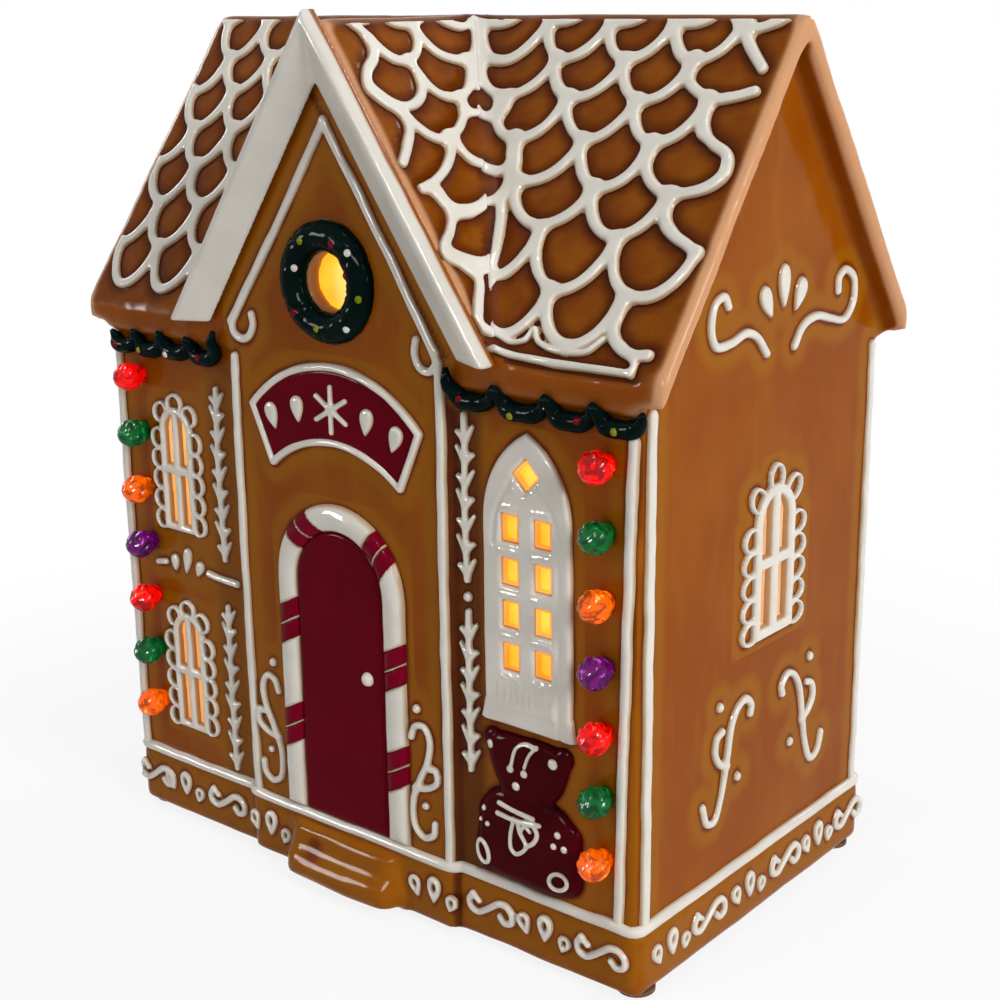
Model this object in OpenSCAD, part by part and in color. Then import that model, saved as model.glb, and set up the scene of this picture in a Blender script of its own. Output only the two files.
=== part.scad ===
// Lit ceramic gingerbread house with plastic twist bulbs and a battery light module in its base

/* [Walls] */
// Width of the upper walls, left to right
wall_w = 188; // [170:1:210]
// Depth of the upper walls, front to back
wall_d = 113; // [104:1:130]
// Thickness of the ceramic walls
wall_t = 4.5; // [3.5:0.1:5.5]
// Rounding of the upright corners of the walls
wall_corner_r = 2; // [1.5:0.5:4]

/* [Plinth] */
// Height of the plinth band above the rim
plinth_h = 17; // [16:0.5:20]
// How far the plinth stands proud of the walls
plinth_lip = 1.4; // [0.8:0.1:2]
// Height of the floor's underside above the rim
floor_h = 6; // [5.5:0.1:7]
// Thickness of the floor
floor_t = 4; // [3.5:0.1:5]
// Width of the rim that the house stands on
rim_w = 11; // [10.5:0.5:13]

/* [Roof] */
// Height of the ridge above the rim, before it is rounded
ridge_h = 240.8; // [230:1:250]
// Height of the roof's upper surface at the eaves
eave_h = 159.3; // [150:1:165]
// Overhang of the eaves beyond the front and back walls
eave_reach = 3.6; // [3:0.1:5]
// Overhang of the roof beyond the side walls
verge_reach = 8.6; // [6:0.2:12]
// Thickness of the roof
roof_t = 5; // [4:0.1:6]
// Rounding of the ridge
ridge_r = 3; // [2:0.5:5]

/* [Gable bay] */
// Place of the bay's middle, left or right of the middle of the house
bay_x = -2.5; // [-6:0.5:4]
// Width of the shallow bay that carries the door
bay_w = 78; // [76:0.5:80]
// How far the bay stands proud of the front wall
bay_proud = 2.4; // [1.8:0.1:4]
// Width of the front gable over its bargeboards
gable_w = 112; // [106:1:118]
// Width of the white bargeboards, square to their length
board_w = 10; // [9:0.5:12]
// Depth of the bargeboards, front to back
board_t = 5.4; // [4:0.2:7]
// Width of the sloped edge along the top of each bargeboard
board_bevel = 2.4; // [1:0.2:3]

/* [Step] */
// Width of the doorstep
step_w = 44; // [40:1:50]
// Reach of the lower tread in front of the plinth
step_reach = 8; // [7:0.5:12]
// Height of the lower tread
tread_h = 9; // [7:0.5:10]
// Corner rounding of the treads
tread_r = 7; // [5:0.5:8]

/* [Door] */
// Width of the arched surround
surround_w = 47; // [44:1:50]
// Height of the surround's crown above the rim
surround_top = 113; // [106:1:116]
// Width of the surround's moulding
surround_band = 7.6; // [6:0.2:9]
// Relief of the surround
surround_t = 2.4; // [1.6:0.2:3]
// Relief of the door panel
door_t = 1.2; // [0.8:0.1:1.4]
// Diameter of the door knob
knob_d = 4; // [3:0.5:5]

/* [Sign] */
// Width of the sign across its upper corners
sign_w = 63; // [58:1:66]
// Height of the sign's crown above the rim
sign_top = 151.5; // [149:0.5:154]
// Height of the sign's flat area, measured on its middle
sign_band = 22.5; // [20:0.5:24]
// Relief of the sign
sign_t = 1.6; // [1.2:0.1:2]
// Width of the piped border
sign_border_w = 2.4; // [1.8:0.1:3]

/* [Wreath] */
// Outer diameter of the wreath
wreath_d = 32.4; // [30:0.5:35]
// Height of the wreath's middle above the rim
wreath_z = 172.8; // [171:0.5:175]
// Thickness of the wreath's roll
wreath_roll = 8.4; // [7:0.2:9]

/* [Tall window] */
// Distance of the window's middle from the middle of the house
tall_x = 60.5; // [59:0.5:62]
// Width of the white frame
tall_w = 27.6; // [26:0.2:29]
// Height of the frame's foot above the rim
tall_z = 64.5; // [63:0.5:67]
// Clearance between the frame's point and the garland above it
tall_gap = 2; // [1:0.1:4]
// Relief of the frame
tall_t = 1.8; // [1.2:0.1:2.4]
// Width of one pane
pane_w = 5.4; // [4.6:0.1:6]
// Height of one pane
pane_h = 7.4; // [6:0.1:8.4]
// Distance between the middles of the panes, up the window
pane_pitch = 11.3; // [10.6:0.1:11.8]

/* [Lace windows] */
// Distance of the small front windows from the middle of the house
lace_x = 69; // [67:0.5:71]
// Width of a small window inside its loops
lace_w = 13.6; // [12:0.2:15]
// Height of a small window inside its loops
lace_h = 37.6; // [34:0.5:40]
// Height of the upper small window's sill above the rim
lace_upper_z = 92.5; // [90:0.5:96]
// Height of the lower small window's sill above the rim
lace_lower_z = 29.5; // [27:0.5:34]
// Width of a side window inside its loops
side_lace_w = 19.6; // [18:0.2:22]
// Height of a side window inside its loops
side_lace_h = 41.5; // [38:0.5:46]
// Height of a side window's sill above the rim
side_lace_z = 80; // [76:0.5:84]
// Distance of a side window from the middle of the wall, towards the back
side_lace_y = 3.7; // [0:0.1:6]

/* [Icing] */
// Width of the piped border lines
line_w = 3; // [2.4:0.1:3.4]
// Width of the thin piped scrolls
scroll_w = 2.2; // [1.6:0.1:2.6]
// Relief of all piped icing on the walls
icing_t = 1.3; // [0.8:0.1:1.6]
// Width of one roof tile
tile_w = 20.6; // [19:0.2:24]
// Width of one tile on the left part of the roof
tile_left_w = 16.9; // [15:0.1:20]
// Height of one row of roof tiles
tile_h = 12.4; // [11:0.2:14]
// Width of the piped line between the tiles
tile_line_w = 2.6; // [2:0.1:3]
// Relief of the piped line between the tiles
tile_line_t = 1.2; // [0.8:0.1:1.6]

/* [Garlands] */
// Width of the left garland
garland_left_w = 40; // [36:1:42]
// Width of the right garland
garland_right_w = 53; // [50:1:54]
// Relief of the garlands
garland_t = 2.6; // [1.8:0.2:3]
// How far the garlands hang below the fascia
garland_hang = 6.9; // [6:0.1:7.4]
// Thickness of a garland's swag, top to bottom
swag_h = 5.6; // [4.6:0.1:5.8]

/* [Bear] */
// Clearance between the bear and the tall window above it
bear_gap = 2.5; // [1.5:0.1:5]
// Clearance between the bear and the bulbs beside it
bear_side_gap = 1.5; // [1:0.1:3]
// Relief of the bear
bear_t = 2.6; // [2:0.2:3.4]
// Relief of the icing on the bear
bear_icing_t = 0.8; // [0.5:0.1:1]

/* [Bulbs] */
// Distance between bulbs in a column
bulb_pitch = 17; // [16.4:0.1:17.2]
// Height of the lowest bulb above the rim
bulb_z = 36; // [34:0.5:38]
// Distance of the columns from the middle of the house
bulb_x = 84; // [83:0.2:85]
// Largest diameter of a bulb
bulb_d = 8.6; // [8:0.2:10]
// Length of a bulb in front of the wall
bulb_len = 9.6; // [9:0.2:13]
// Diameter of the peg that plugs into the wall
peg_d = 4; // [3.4:0.1:4.6]
// Clearance round the peg in its hole
peg_gap = 0.2; // [0.1:0.05:0.3]

/* [Light module] */
// Width of the hole in the floor for the module
port_w = 72; // [70:1:78]
// Depth of the hole in the floor for the module
port_d = 66; // [64:1:72]
// Clearance between the module and the hole
port_gap = 0.6; // [0.4:0.1:1]
// Width of the flange under the floor
flange_w = 4; // [3:0.5:6]
// Thickness of the module's plastic walls
shell_t = 2; // [1.6:0.1:2.4]
// Diameter of one cell
cell_d = 14.5; // [14:0.1:14.8]
// Length of one cell without its terminal
cell_len = 49.4; // [49:0.1:50]
// Running clearance round the battery door
door_gap = 0.4; // [0.3:0.05:0.6]
// Diameter of the door's hinge stubs
stub_d = 1; // [0.8:0.1:1.2]
// Radial clearance of the hinge stubs
stub_gap = 0.08; // [0.05:0.01:0.1]
// Travel of the switch
switch_travel = 4; // [3:0.5:5]
// Thickness of the felt pads
felt_t = 1.2; // [0.8:0.1:1.6]
// Diameter of the felt pads
felt_d = 10; // [8:0.5:10]

/* [Hidden] */
$fn = 48;

// Bulbs in a column, and cells in the module
bulb_count = 7;
cell_count = 3;

// Overrun of every cut past the face it starts from
over = 1;
// Clearance under the relief that lies on a slope
slope_seat = 0.01;
// Steps of a rounded corner and of a smooth stroke
corner_steps = 4;
stroke_steps = 4;
cap_steps = 4;

// Half sizes that the whole house hangs on
wall_x = wall_w / 2;
wall_y = wall_d / 2;
room_x = wall_x - wall_t;
room_y = wall_y - wall_t;
plinth_x = wall_x + plinth_lip;
plinth_y = wall_y + plinth_lip;
roof_x = wall_x + verge_reach;
roof_y = wall_y + eave_reach;
bay_y = wall_y + bay_proud;
gable_half = gable_w / 2;
floor_top = floor_h + floor_t;

// Slopes of the main roof and of the front gable
roof_angle = atan2(ridge_h - eave_h, roof_y);
roof_len = norm([ridge_h - eave_h, roof_y]);
gable_angle = atan2(ridge_h - eave_h, gable_half);
gable_len = norm([ridge_h - eave_h, gable_half]);
roof_drop = roof_t / cos(roof_angle);
gable_drop = roof_t / cos(gable_angle);

// The origin lies under the middle of the outline seen from above
front_reach = max(plinth_y + bay_proud + step_reach, wall_y + bulb_len);
origin_y = (roof_y - front_reach) / 2;

// Colours as glazed
biscuit = [0.5, 0.27, 0.08];
icing = [0.9, 0.88, 0.84];
maroon = [0.32, 0.01, 0.07];
pine = [0.03, 0.12, 0.09];
chocolate = [0.22, 0.03, 0.06];
glow = [1, 0.78, 0.3, 0.8];
bulb_colours = ["darkorange", "green", "red", "purple", "darkorange", "green", "red"];

// Outlines

// One corner of a closed outline, as points on an arc that touches both of its sides
function corner(p, i, r) =
  let (
    a = p[(i + len(p) - 1) % len(p)],
    b = p[i],
    c = p[(i + 1) % len(p)],
    u = (a - b) / norm(a - b),
    v = (c - b) / norm(c - b),
    half = acos(u * v) / 2,
    middle = b + (u + v) / norm(u + v) * r / sin(half),
    first = b + u * r / tan(half) - middle,
    start = atan2(first[1], first[0]),
    turn = sign(cross(b - a, c - b)) * (180 - 2 * half)
  )
  [for (k = [0 : corner_steps]) middle + r * [cos(start + turn * k / corner_steps),
                                              sin(start + turn * k / corner_steps)]];

// A closed outline with a rounding for each corner, zero for a sharp one
function rounded(p, radii) = [
  for (i = [0 : len(p) - 1])
    let (r = is_list(radii) ? radii[i] : radii)
    each (r > 0 ? corner(p, i, r) : [p[i]])
];

// A rectangle about the origin
function plan(x, y) = [[-x, -y], [x, -y], [x, y], [-x, y]];

// An upright arch on the x axis: round where its rise is half its width, else pointed
function arch(w, spring, top) =
  let (
    rise = top - spring,
    r = w / 4 + rise * rise / w,
    sweep = asin(rise / r),
    steps = 2 * corner_steps,
    side = [for (k = [0 : steps]) [w / 2 - r + r * cos(sweep * k / steps),
                                   spring + r * sin(sweep * k / steps)]]
  )
  concat([[-w / 2, 0], [w / 2, 0]], side,
         [for (k = [steps - 1 : -1 : 0]) [-side[k][0], side[k][1]]]);

// An oval of half sizes a and b
function oval(a, b) =
  let (steps = 4 * corner_steps)
  [for (k = [0 : steps - 1]) [a * cos(360 * k / steps), b * sin(360 * k / steps)]];

// A teardrop of width w and height h that stands on its point
function drop(w, h) =
  let (steps = 4 * corner_steps)
  [for (k = [0 : steps - 1])
    let (t = 360 * k / steps)
    [w * 0.65 * sin(t) * sin(t / 2), h / 2 * (1 - cos(t))]];

// A smooth line through a few points, each passed along the chord of its neighbours
function bend(p, i) =
  let (a = p[max(i - 1, 0)], c = p[min(i + 1, len(p) - 1)])
  (c - a) / (norm(c - p[i]) + norm(p[i] - a));
function between(a, b, u, v, t) =
  let (span = norm(b - a))
  a * (1 + t * t * (2 * t - 3)) + b * t * t * (3 - 2 * t)
    + span * t * (1 - t) * (u * (1 - t) - v * t);
function smooth(p) = [
  for (i = [0 : len(p) - 2], k = [0 : stroke_steps - 1])
    between(p[i], p[i + 1], bend(p, i), bend(p, i + 1), k / stroke_steps),
  p[len(p) - 1]
];

// The direction of a line at one of its points
function heading(p, i) =
  let (d = p[min(i + 1, len(p) - 1)] - p[max(i - 1, 0)])
  atan2(d[1], d[0]);
function beside(p, i, turn, r) =
  let (a = heading(p, i) + turn)
  p[i] + r * [cos(a), sin(a)];

// A line with round ends as a closed outline
function band(p, w) =
  let (last = len(p) - 1)
  concat(
    [for (i = [0 : last]) beside(p, i, -90, w / 2)],
    [for (k = [1 : cap_steps - 1]) beside(p, last, -90 + 180 * k / cap_steps, w / 2)],
    [for (i = [last : -1 : 0]) beside(p, i, 90, w / 2)],
    [for (k = [1 : cap_steps - 1]) beside(p, 0, 90 + 180 * k / cap_steps, w / 2)]
  );

// Points given as shares of a half width and a height
function spread(shares, x, y) = [for (s = shares) [s[0] * x, s[1] * y]];

module stroke(points, w) {
  polygon(band(smooth(points), w));
}

module straight(a, b, w) {
  polygon(band([a, b], w));
}

// An upright border line with square ends
module border(x, foot, head) {
  translate([x - line_w / 2, foot]) square([line_w, head - foot]);
}

// Faces of the house, each with its own flat drawing plane

module placed() {
  translate([0, -origin_y, felt_t]) children();
}

module on_front(y, t) {
  translate([0, -y, 0]) rotate([90, 0, 0]) linear_extrude(height = t) children();
}

module on_back(y, t) {
  mirror([0, 1, 0]) on_front(y, t) children();
}

module on_right(x, t) {
  translate([x, 0, 0]) rotate([90, 0, 90]) linear_extrude(height = t) children();
}

module on_left(x, t) {
  mirror([1, 0, 0]) on_right(x, t) children();
}

module on_roof(t) {
  translate([0, -roof_y, eave_h]) rotate([roof_angle, 0, 0]) translate([0, 0, slope_seat])
    linear_extrude(height = t) children();
}

module on_gable(t) {
  translate([bay_x + gable_half, 0, eave_h]) rotate([0, 0, 90]) rotate([gable_angle, 0, 0])
    translate([0, 0, slope_seat]) linear_extrude(height = t) children();
}

module on_gable_left(t) {
  translate([2 * bay_x, 0, 0]) mirror([1, 0, 0]) on_gable(t) children();
}

// The casting

// Cross-section of the roof slab or of the space under it, at a depth below its surface
function roof_section(drop_z, foot_z) =
  let (run = (ridge_h - drop_z - foot_z) / tan(roof_angle))
  [[-run, foot_z], [run, foot_z], [0, ridge_h - drop_z]];
function gable_section(drop_z, foot_z) =
  let (run = (ridge_h - drop_z - foot_z) / tan(gable_angle))
  [[bay_x - run, foot_z], [bay_x + run, foot_z], [bay_x, ridge_h - drop_z]];

fascia_z = eave_h - roof_drop;

module roof_solid() {
  outline = [[-roof_y, fascia_z], [roof_y, fascia_z], [roof_y, eave_h], [0, ridge_h],
             [-roof_y, eave_h]];
  translate([-roof_x, 0, 0]) rotate([90, 0, 90]) linear_extrude(height = 2 * roof_x)
    polygon(rounded(outline, [0, 0, roof_t / 4, ridge_r, roof_t / 4]));
}

module gable_solid() {
  outline = [[bay_x - gable_half, fascia_z], [bay_x + gable_half, fascia_z],
             [bay_x + gable_half, eave_h], [bay_x, ridge_h], [bay_x - gable_half, eave_h]];
  rotate([90, 0, 0]) linear_extrude(height = roof_y)
    polygon(rounded(outline, [0, 0, roof_t / 4, ridge_r, roof_t / 4]));
}

// Space in front of the gable's wall, under its slab
module under_gable() {
  on_front(bay_y, roof_y - bay_y + over) polygon(gable_section(gable_drop, fascia_z - over));
}

// Space under the overhang of the roof, outside the walls
module under_roof() {
  for (side = [-1, 1])
    translate([side * (wall_x + verge_reach / 2 + over / 2), 0, 0])
      rotate([90, 0, 90])
        linear_extrude(height = verge_reach + over, center = true)
          polygon(roof_section(roof_drop, fascia_z - over));
}

module wall_block() {
  intersection() {
    translate([0, 0, plinth_h - over]) linear_extrude(height = ridge_h)
      polygon(rounded(plan(wall_x, wall_y), wall_corner_r));
    translate([-wall_x - over, 0, 0]) rotate([90, 0, 90])
      linear_extrude(height = 2 * (wall_x + over))
        polygon([[-roof_y, 0], [roof_y, 0], [roof_y, fascia_z + roof_drop / 2],
                 [0, ridge_h - roof_drop / 2], [-roof_y, fascia_z + roof_drop / 2]]);
  }
}

bay_left = bay_x - bay_w / 2;
bay_right = bay_x + bay_w / 2;
bay_top = ridge_h - gable_drop / 2 - bay_w / 2 * tan(gable_angle);

module bay_block() {
  rotate([90, 0, 0]) translate([0, 0, wall_y - wall_t / 2])
    linear_extrude(height = wall_t / 2 + bay_proud)
      polygon([[bay_left, 0], [bay_right, 0], [bay_right, bay_top],
               [bay_x, ridge_h - gable_drop / 2], [bay_left, bay_top]]);
}

module plinth_plan(extra) {
  r = wall_corner_r + plinth_lip;
  polygon(rounded(plan(plinth_x + extra, plinth_y + extra), r));
  translate([bay_x - bay_w / 2 - extra, -plinth_y - bay_proud - extra])
    polygon(rounded([[0, 0], [bay_w + 2 * extra, 0], [bay_w + 2 * extra, plinth_y],
                     [0, plinth_y]], [bay_proud / 2, bay_proud / 2, 0, 0]));
}

module step() {
  tread_reach_share = 0.5;
  for (tread = [[step_reach, 0, tread_h], [step_reach * tread_reach_share, 0, plinth_h]])
    translate([bay_x, -plinth_y - bay_proud, tread[1]])
      linear_extrude(height = tread[2])
        polygon(rounded([[-step_w / 2, -tread[0]], [step_w / 2, -tread[0]],
                         [step_w / 2, tread_r], [-step_w / 2, tread_r]],
                        [tread_r * 0.9, tread_r * 0.9, 0, 0]));
}

module room() {
  intersection() {
    translate([0, 0, floor_top]) linear_extrude(height = ridge_h)
      polygon(rounded(plan(room_x, room_y), wall_corner_r / 2));
    translate([-room_x - over, 0, 0]) rotate([90, 0, 90])
      linear_extrude(height = 2 * (room_x + over))
        polygon(roof_section(roof_drop, 0));
  }
  rotate([90, 0, 0]) linear_extrude(height = bay_y - wall_t)
    polygon(gable_section(gable_drop, fascia_z));
}

module floor_recess() {
  translate([0, 0, -over]) linear_extrude(height = floor_h + over)
    polygon(rounded(plan(plinth_x - rim_w, plinth_y - rim_w), wall_corner_r));
  translate([0, 0, -over]) linear_extrude(height = floor_top + 2 * over)
    polygon(rounded(plan(port_w / 2, port_d / 2), shell_t));
}

// Windows, door and sign

tall_rows = 4;
tall_h = fascia_z - garland_hang - tall_gap - tall_z;
tall_pane_x = pane_w * 0.94;
tall_first_pane = tall_h * 0.24;
tall_spring = tall_h * 0.7;
diamond_z = tall_h * 0.862;
tall_flare = tall_w * 0.05;

module tall_panes() {
  translate([tall_x, tall_z]) {
    for (row = [0 : tall_rows - 1], side = [-1, 1])
      translate([side * tall_pane_x, tall_first_pane + row * pane_pitch])
        polygon(plan(pane_w / 2, pane_h / 2));
    translate([0, diamond_z]) rotate(45) polygon(plan(pane_w * 0.56, pane_w * 0.56));
  }
}

module tall_outline() {
  foot = tall_h * 0.07;
  translate([tall_x, tall_z]) {
    polygon(arch(tall_w, tall_spring, tall_h));
    polygon([[-tall_w / 2 - tall_flare, 0], [tall_w / 2 + tall_flare, 0],
             [tall_w / 2, foot], [-tall_w / 2, foot]]);
  }
}

// Panes of a small arched window: two arched ones over two square ones
module lace_panes(w, h) {
  frame = w * 0.14;
  rail = h * 0.06;
  pane = (w - 3 * frame) / 2;
  bar_z = h * 0.5;
  spring = h - w / 2;
  intersection() {
    translate([0, frame]) polygon(arch(w - 2 * frame, spring - frame, h - 2 * frame));
    for (side = [-1, 1])
      translate([side * (pane + frame) / 2, 0]) {
        translate([0, (bar_z - rail / 2 + frame) / 2])
          polygon(plan(pane / 2, (bar_z - rail / 2 - frame) / 2));
        translate([0, (bar_z + rail / 2 + h) / 2])
          polygon(plan(pane / 2, (h - bar_z - rail / 2) / 2));
      }
  }
}

// Piped frame of a small arched window with its loops
module lace_frame(w, h, side_loops) {
  loop_h = (h - w / 2) / side_loops;
  loop_w = w * 0.2;
  spring = h - w / 2;
  spots = concat(
    [for (side = [-1, 1], k = [0 : side_loops - 1])
      [side * (w / 2 + loop_w * 0.2), loop_h * (k + 0.5), 0]],
    [for (a = [-50, 0, 50]) [(w / 2 + loop_w * 0.2) * sin(a), spring + (w / 2 + loop_w * 0.2) * cos(a),
                             90 - a]]
  );
  difference() {
    union() {
      polygon(arch(w, spring, h));
      for (s = spots)
        translate([s[0], s[1]]) rotate(s[2]) polygon(oval(loop_w, loop_h * 0.56));
    }
    for (s = spots)
      translate([s[0], s[1]]) rotate(s[2])
        translate([s[2] == 0 ? sign(s[0]) * loop_w * 0.35 : loop_w * 0.35, 0])
          polygon(oval(loop_w * 0.34, loop_h * 0.26));
    lace_panes(w, h);
  }
}

module round_pane() {
  translate([bay_x, wreath_z]) circle(r = wreath_d / 2 - wreath_roll - line_w / 6);
}

side_loops_front = 5;
side_loops_side = 5;

function bulb_height(k) = bulb_z + k * bulb_pitch;

module wall_cuts() {
  cut = wall_t + bay_proud + 2 * over;
  on_front(room_y - over, cut) {
    tall_panes();
    for (z = [lace_upper_z, lace_lower_z])
      translate([-lace_x, z]) lace_panes(lace_w, lace_h);
    round_pane();
  }
  for (side = [0, 1])
    mirror([side, 0, 0]) on_right(room_x - over, wall_t + 2 * over)
      translate([side_lace_y, side_lace_z]) lace_panes(side_lace_w, side_lace_h);
  for (side = [-1, 1], k = [0 : bulb_count - 1])
    translate([side * bulb_x, -room_y + over, bulb_height(k)]) rotate([90, 0, 0])
      cylinder(h = wall_t + 2 * over, d = peg_d + 2 * peg_gap);
}

module house_shell() {
  color(biscuit) placed() difference() {
    union() {
      difference() {
        union() {
          roof_solid();
          gable_solid();
        }
        under_roof();
        under_gable();
      }
      wall_block();
      bay_block();
      linear_extrude(height = plinth_h) plinth_plan(0);
      step();
    }
    room();
    floor_recess();
    wall_cuts();
  }
}

// A bargeboard is a wedge, thick along its upper edge; the pair meets over the bay's middle
module bargeboards() {
  foot_z = eave_h - roof_t * 0.3;
  length = gable_len + 2 * board_w;
  section = [[0, 0], [board_w, 0], [board_w, board_t * 0.8], [board_w - board_bevel * 0.4, board_t],
             [board_w - board_bevel, board_t * 0.96], [0, board_t * 0.2]];
  color(icing) placed() intersection() {
    for (side = [0, 1])
      translate([2 * bay_x * side, 0, 0]) mirror([side, 0, 0])
        intersection() {
          translate([bay_x, -roof_y, ridge_h]) rotate([90, gable_angle, 0])
            translate([-board_w, -board_w, 0]) rotate([90, 0, 90])
              linear_extrude(height = length) polygon(section);
          translate([bay_x, -roof_y - 2 * board_t, 0])
            cube([gable_w, 3 * board_t, ridge_h + board_w]);
        }
    on_front(roof_y, board_t)
      polygon(rounded([[bay_x - gable_half - board_w / 2, foot_z],
                       [bay_x + gable_half + board_w / 2, foot_z],
                       [bay_x, ridge_h + board_w / 4]], [0, 0, ridge_r]));
  }
}

// Icing

// Rise of a tile's edge at a share of its half width: a flat round bottom, steep at the cusps
function scallop_rise(s) = 1 - sqrt(1 - s * s * 0.96) * 1.02;

// A row of hanging edges, counted in half tiles; an even place is a cusp, an odd one a bottom
function half_tiles(from, to, turn) = [
  for (j = [from : to - 1], i = [0 : corner_steps - 1])
    let (share = i / corner_steps)
    [j + share, scallop_rise(abs(j + turn) % 2 == 0 ? 1 - share : share)],
  [to, scallop_rise(1 - abs(to + turn) % 2)]
];

// Where a row starts and stops: at the bottom or the cusp that first clears its slanting limit
function row_start(low, high, turn) =
  let (bottom = ceil(low), cusp = ceil(high))
  min(bottom + abs(bottom + turn + 1) % 2, cusp + abs(cusp + turn) % 2);
function row_stop(low, high, turn) = -row_start(-low, -high, turn);
function limit(edge, z) = edge[0] + edge[1] * z;

// A fish-scale net of whole half tiles between two limits, each row shifted by half a tile.
// The ridge cuts the top row, so that row stays over the one below it
module tile_net(w, origin, turn, left, right, top) {
  half = w / 2;
  first = tile_h * 0.55;
  rows = floor((top - tile_line_w / 2 - first) / tile_h) + 1;
  intersection() {
    for (row = [0 : rows - 1]) {
      low = first + min(row, rows - 2) * tile_h;
      high = low + tile_h * 0.8;
      from = row_start((limit(left, low) - origin) / half, (limit(left, high) - origin) / half,
                       row + turn);
      to = row_stop((limit(right, low) - origin) / half, (limit(right, high) - origin) / half,
                    row + turn);
      if (to > from)
        polygon(band([for (p = half_tiles(from, to, row + turn))
                       [origin + p[0] * half, first + (row + p[1]) * tile_h]], tile_line_w));
    }
    translate([-2 * roof_x, 0]) square([4 * roof_x, top]);
  }
}

net_margin = tile_line_w * 1.5;
net_side = wall_x + verge_reach * 0.4;
net_top = roof_len - ridge_r * 1.6;
gable_net_top = gable_len - ridge_r * 1.6;
// The valley runs from the eave's corner to the ridge, on both slopes
valley_share = gable_half / roof_len;
gable_valley_share = roof_y / gable_len;

module roof_icing_front_right() {
  foot_x = bay_x + gable_half;
  corner_x = wall_x - tile_line_w;
  color(icing) placed() on_roof(tile_line_t) {
    tile_net(tile_w, wall_x, 1, [foot_x + net_margin, -valley_share], [net_side, 0], net_top);
    straight([foot_x, tile_line_w], [corner_x, tile_line_w], tile_line_w * 0.7);
    straight([corner_x, tile_line_w], [corner_x, tile_h * 0.55], tile_line_w * 0.7);
  }
}

module roof_icing_front_left() {
  color(icing) placed() on_roof(tile_line_t)
    tile_net(tile_left_w, -net_side, 0, [-net_side, 0],
             [bay_x - gable_half - net_margin, valley_share], net_top);
}

module gable_net() {
  tile_net(tile_w, tile_w * 0.62 - roof_y, 0, [tile_line_w * 2 - roof_y, 0],
           [-roof_y - net_margin, gable_valley_share], gable_net_top);
}

module gable_icing_right() {
  color(icing) placed() on_gable(tile_line_t) gable_net();
}

module gable_icing_left() {
  color(icing) placed() on_gable_left(tile_line_t) gable_net();
}

module roof_icing_back() {
  color(icing) placed() mirror([0, 1, 0]) on_roof(tile_line_t)
    tile_net(tile_w, wall_x, 1, [-net_side, 0], [net_side, 0], net_top);
}

// Shares of a scroll's half width and height, from its upper curl to its foot
door_scroll_shares = [[0.7, 0.88], [0.4, 0.98], [-0.15, 1], [-0.5, 0.88], [-0.3, 0.7],
                      [0.2, 0.5], [0.62, 0.32], [0.6, 0.09], [0, 0], [-0.6, 0.06],
                      [-0.72, 0.17]];
door_branch_shares = [[0.44, 0.41], [-0.3, 0.43], [-0.85, 0.5], [-0.95, 0.6], [-0.5, 0.66]];
door_dot_shares = [[0.35, 1.15], [-0.1, 0.3]];
side_scroll_shares = [[0.88, 0.84], [1, 0.93], [0.72, 1], [0.32, 0.97], [0.08, 0.8],
                      [-0.02, 0.5], [-0.16, 0.2], [-0.42, 0.03], [-0.72, 0], [-0.96, 0.1],
                      [-0.98, 0.24]];
side_branch_shares = [[-0.06, 0.46], [-0.35, 0.53], [-0.53, 0.64], [-0.5, 0.77],
                      [-0.25, 0.83]];
side_dot_shares = [[-0.32, 1.05], [0.42, 0.31]];
gable_scroll_shares = [[0.62, 0.72], [0.66, 0.98], [0.96, 0.94], [0.98, 0.6], [0.72, 0.38],
                       [0.4, 0.42], [0.18, 0.3], [0.06, 0]];
curl_shares = [[-0.35, 0.45], [-0.75, 0.75], [-1, 0], [-0.65, -0.7], [-0.1, -0.35],
               [0.25, 0.4], [0.65, 0.75], [1, 0.1], [0.8, -0.6], [0.45, -0.45]];

door_scroll_w = 11;
door_scroll_h = 33;
side_scroll_w = 22;
side_scroll_h = 32;
gable_scroll_w = 74;
gable_scroll_h = 19;
curl_w = 17;
curl_h = 8;
dot_d = 2.8;

module scroll(line_shares, branch_shares, dot_shares, w, h) {
  stroke(spread(line_shares, w / 2, h), scroll_w);
  stroke(spread(branch_shares, w / 2, h), scroll_w);
  for (p = spread(dot_shares, w / 2, h)) translate(p) circle(d = dot_d);
}

module door_scroll() {
  scroll(door_scroll_shares, door_branch_shares, door_dot_shares, door_scroll_w, door_scroll_h);
}

module side_scroll() {
  scroll(side_scroll_shares, side_branch_shares, side_dot_shares, side_scroll_w, side_scroll_h);
}

// A sprig of paired leaves, standing on its foot
sprig_w = 7;
sprig_pitch = 5.8;
function leaf_side(h, side) =
  let (count = round(h / sprig_pitch), pitch = h / (count + 0.5), stem = sprig_w * 0.11)
  [for (k = [0 : count - 1]) each [
    [side * stem, k * pitch],
    [side * sprig_w / 2, (k + 0.55) * pitch],
    [side * sprig_w * 0.36, (k + 0.8) * pitch],
    [side * stem, (k + 0.72) * pitch]
  ]];
module sprig(h) {
  right = leaf_side(h, 1);
  left = leaf_side(h, -1);
  polygon(concat(right, [[0, h]], [for (k = [len(left) - 1 : -1 : 0]) left[k]]));
}

// Three drops side by side, the middle one higher
drop_w = 4.8;
drop_h = 7.6;
trio_pitch = 5.8;
module drop_trio() {
  for (k = [-1 : 1])
    translate([k * trio_pitch, -drop_h / 2 + (k == 0 ? drop_h * 0.2 : -drop_h * 0.05)])
      rotate(k * -12) polygon(drop(k == 0 ? drop_w : drop_w * 0.85, k == 0 ? drop_h : drop_h * 0.8));
}

module curl() {
  stroke(spread(curl_shares, curl_w / 2, curl_h / 2), scroll_w);
}

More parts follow.
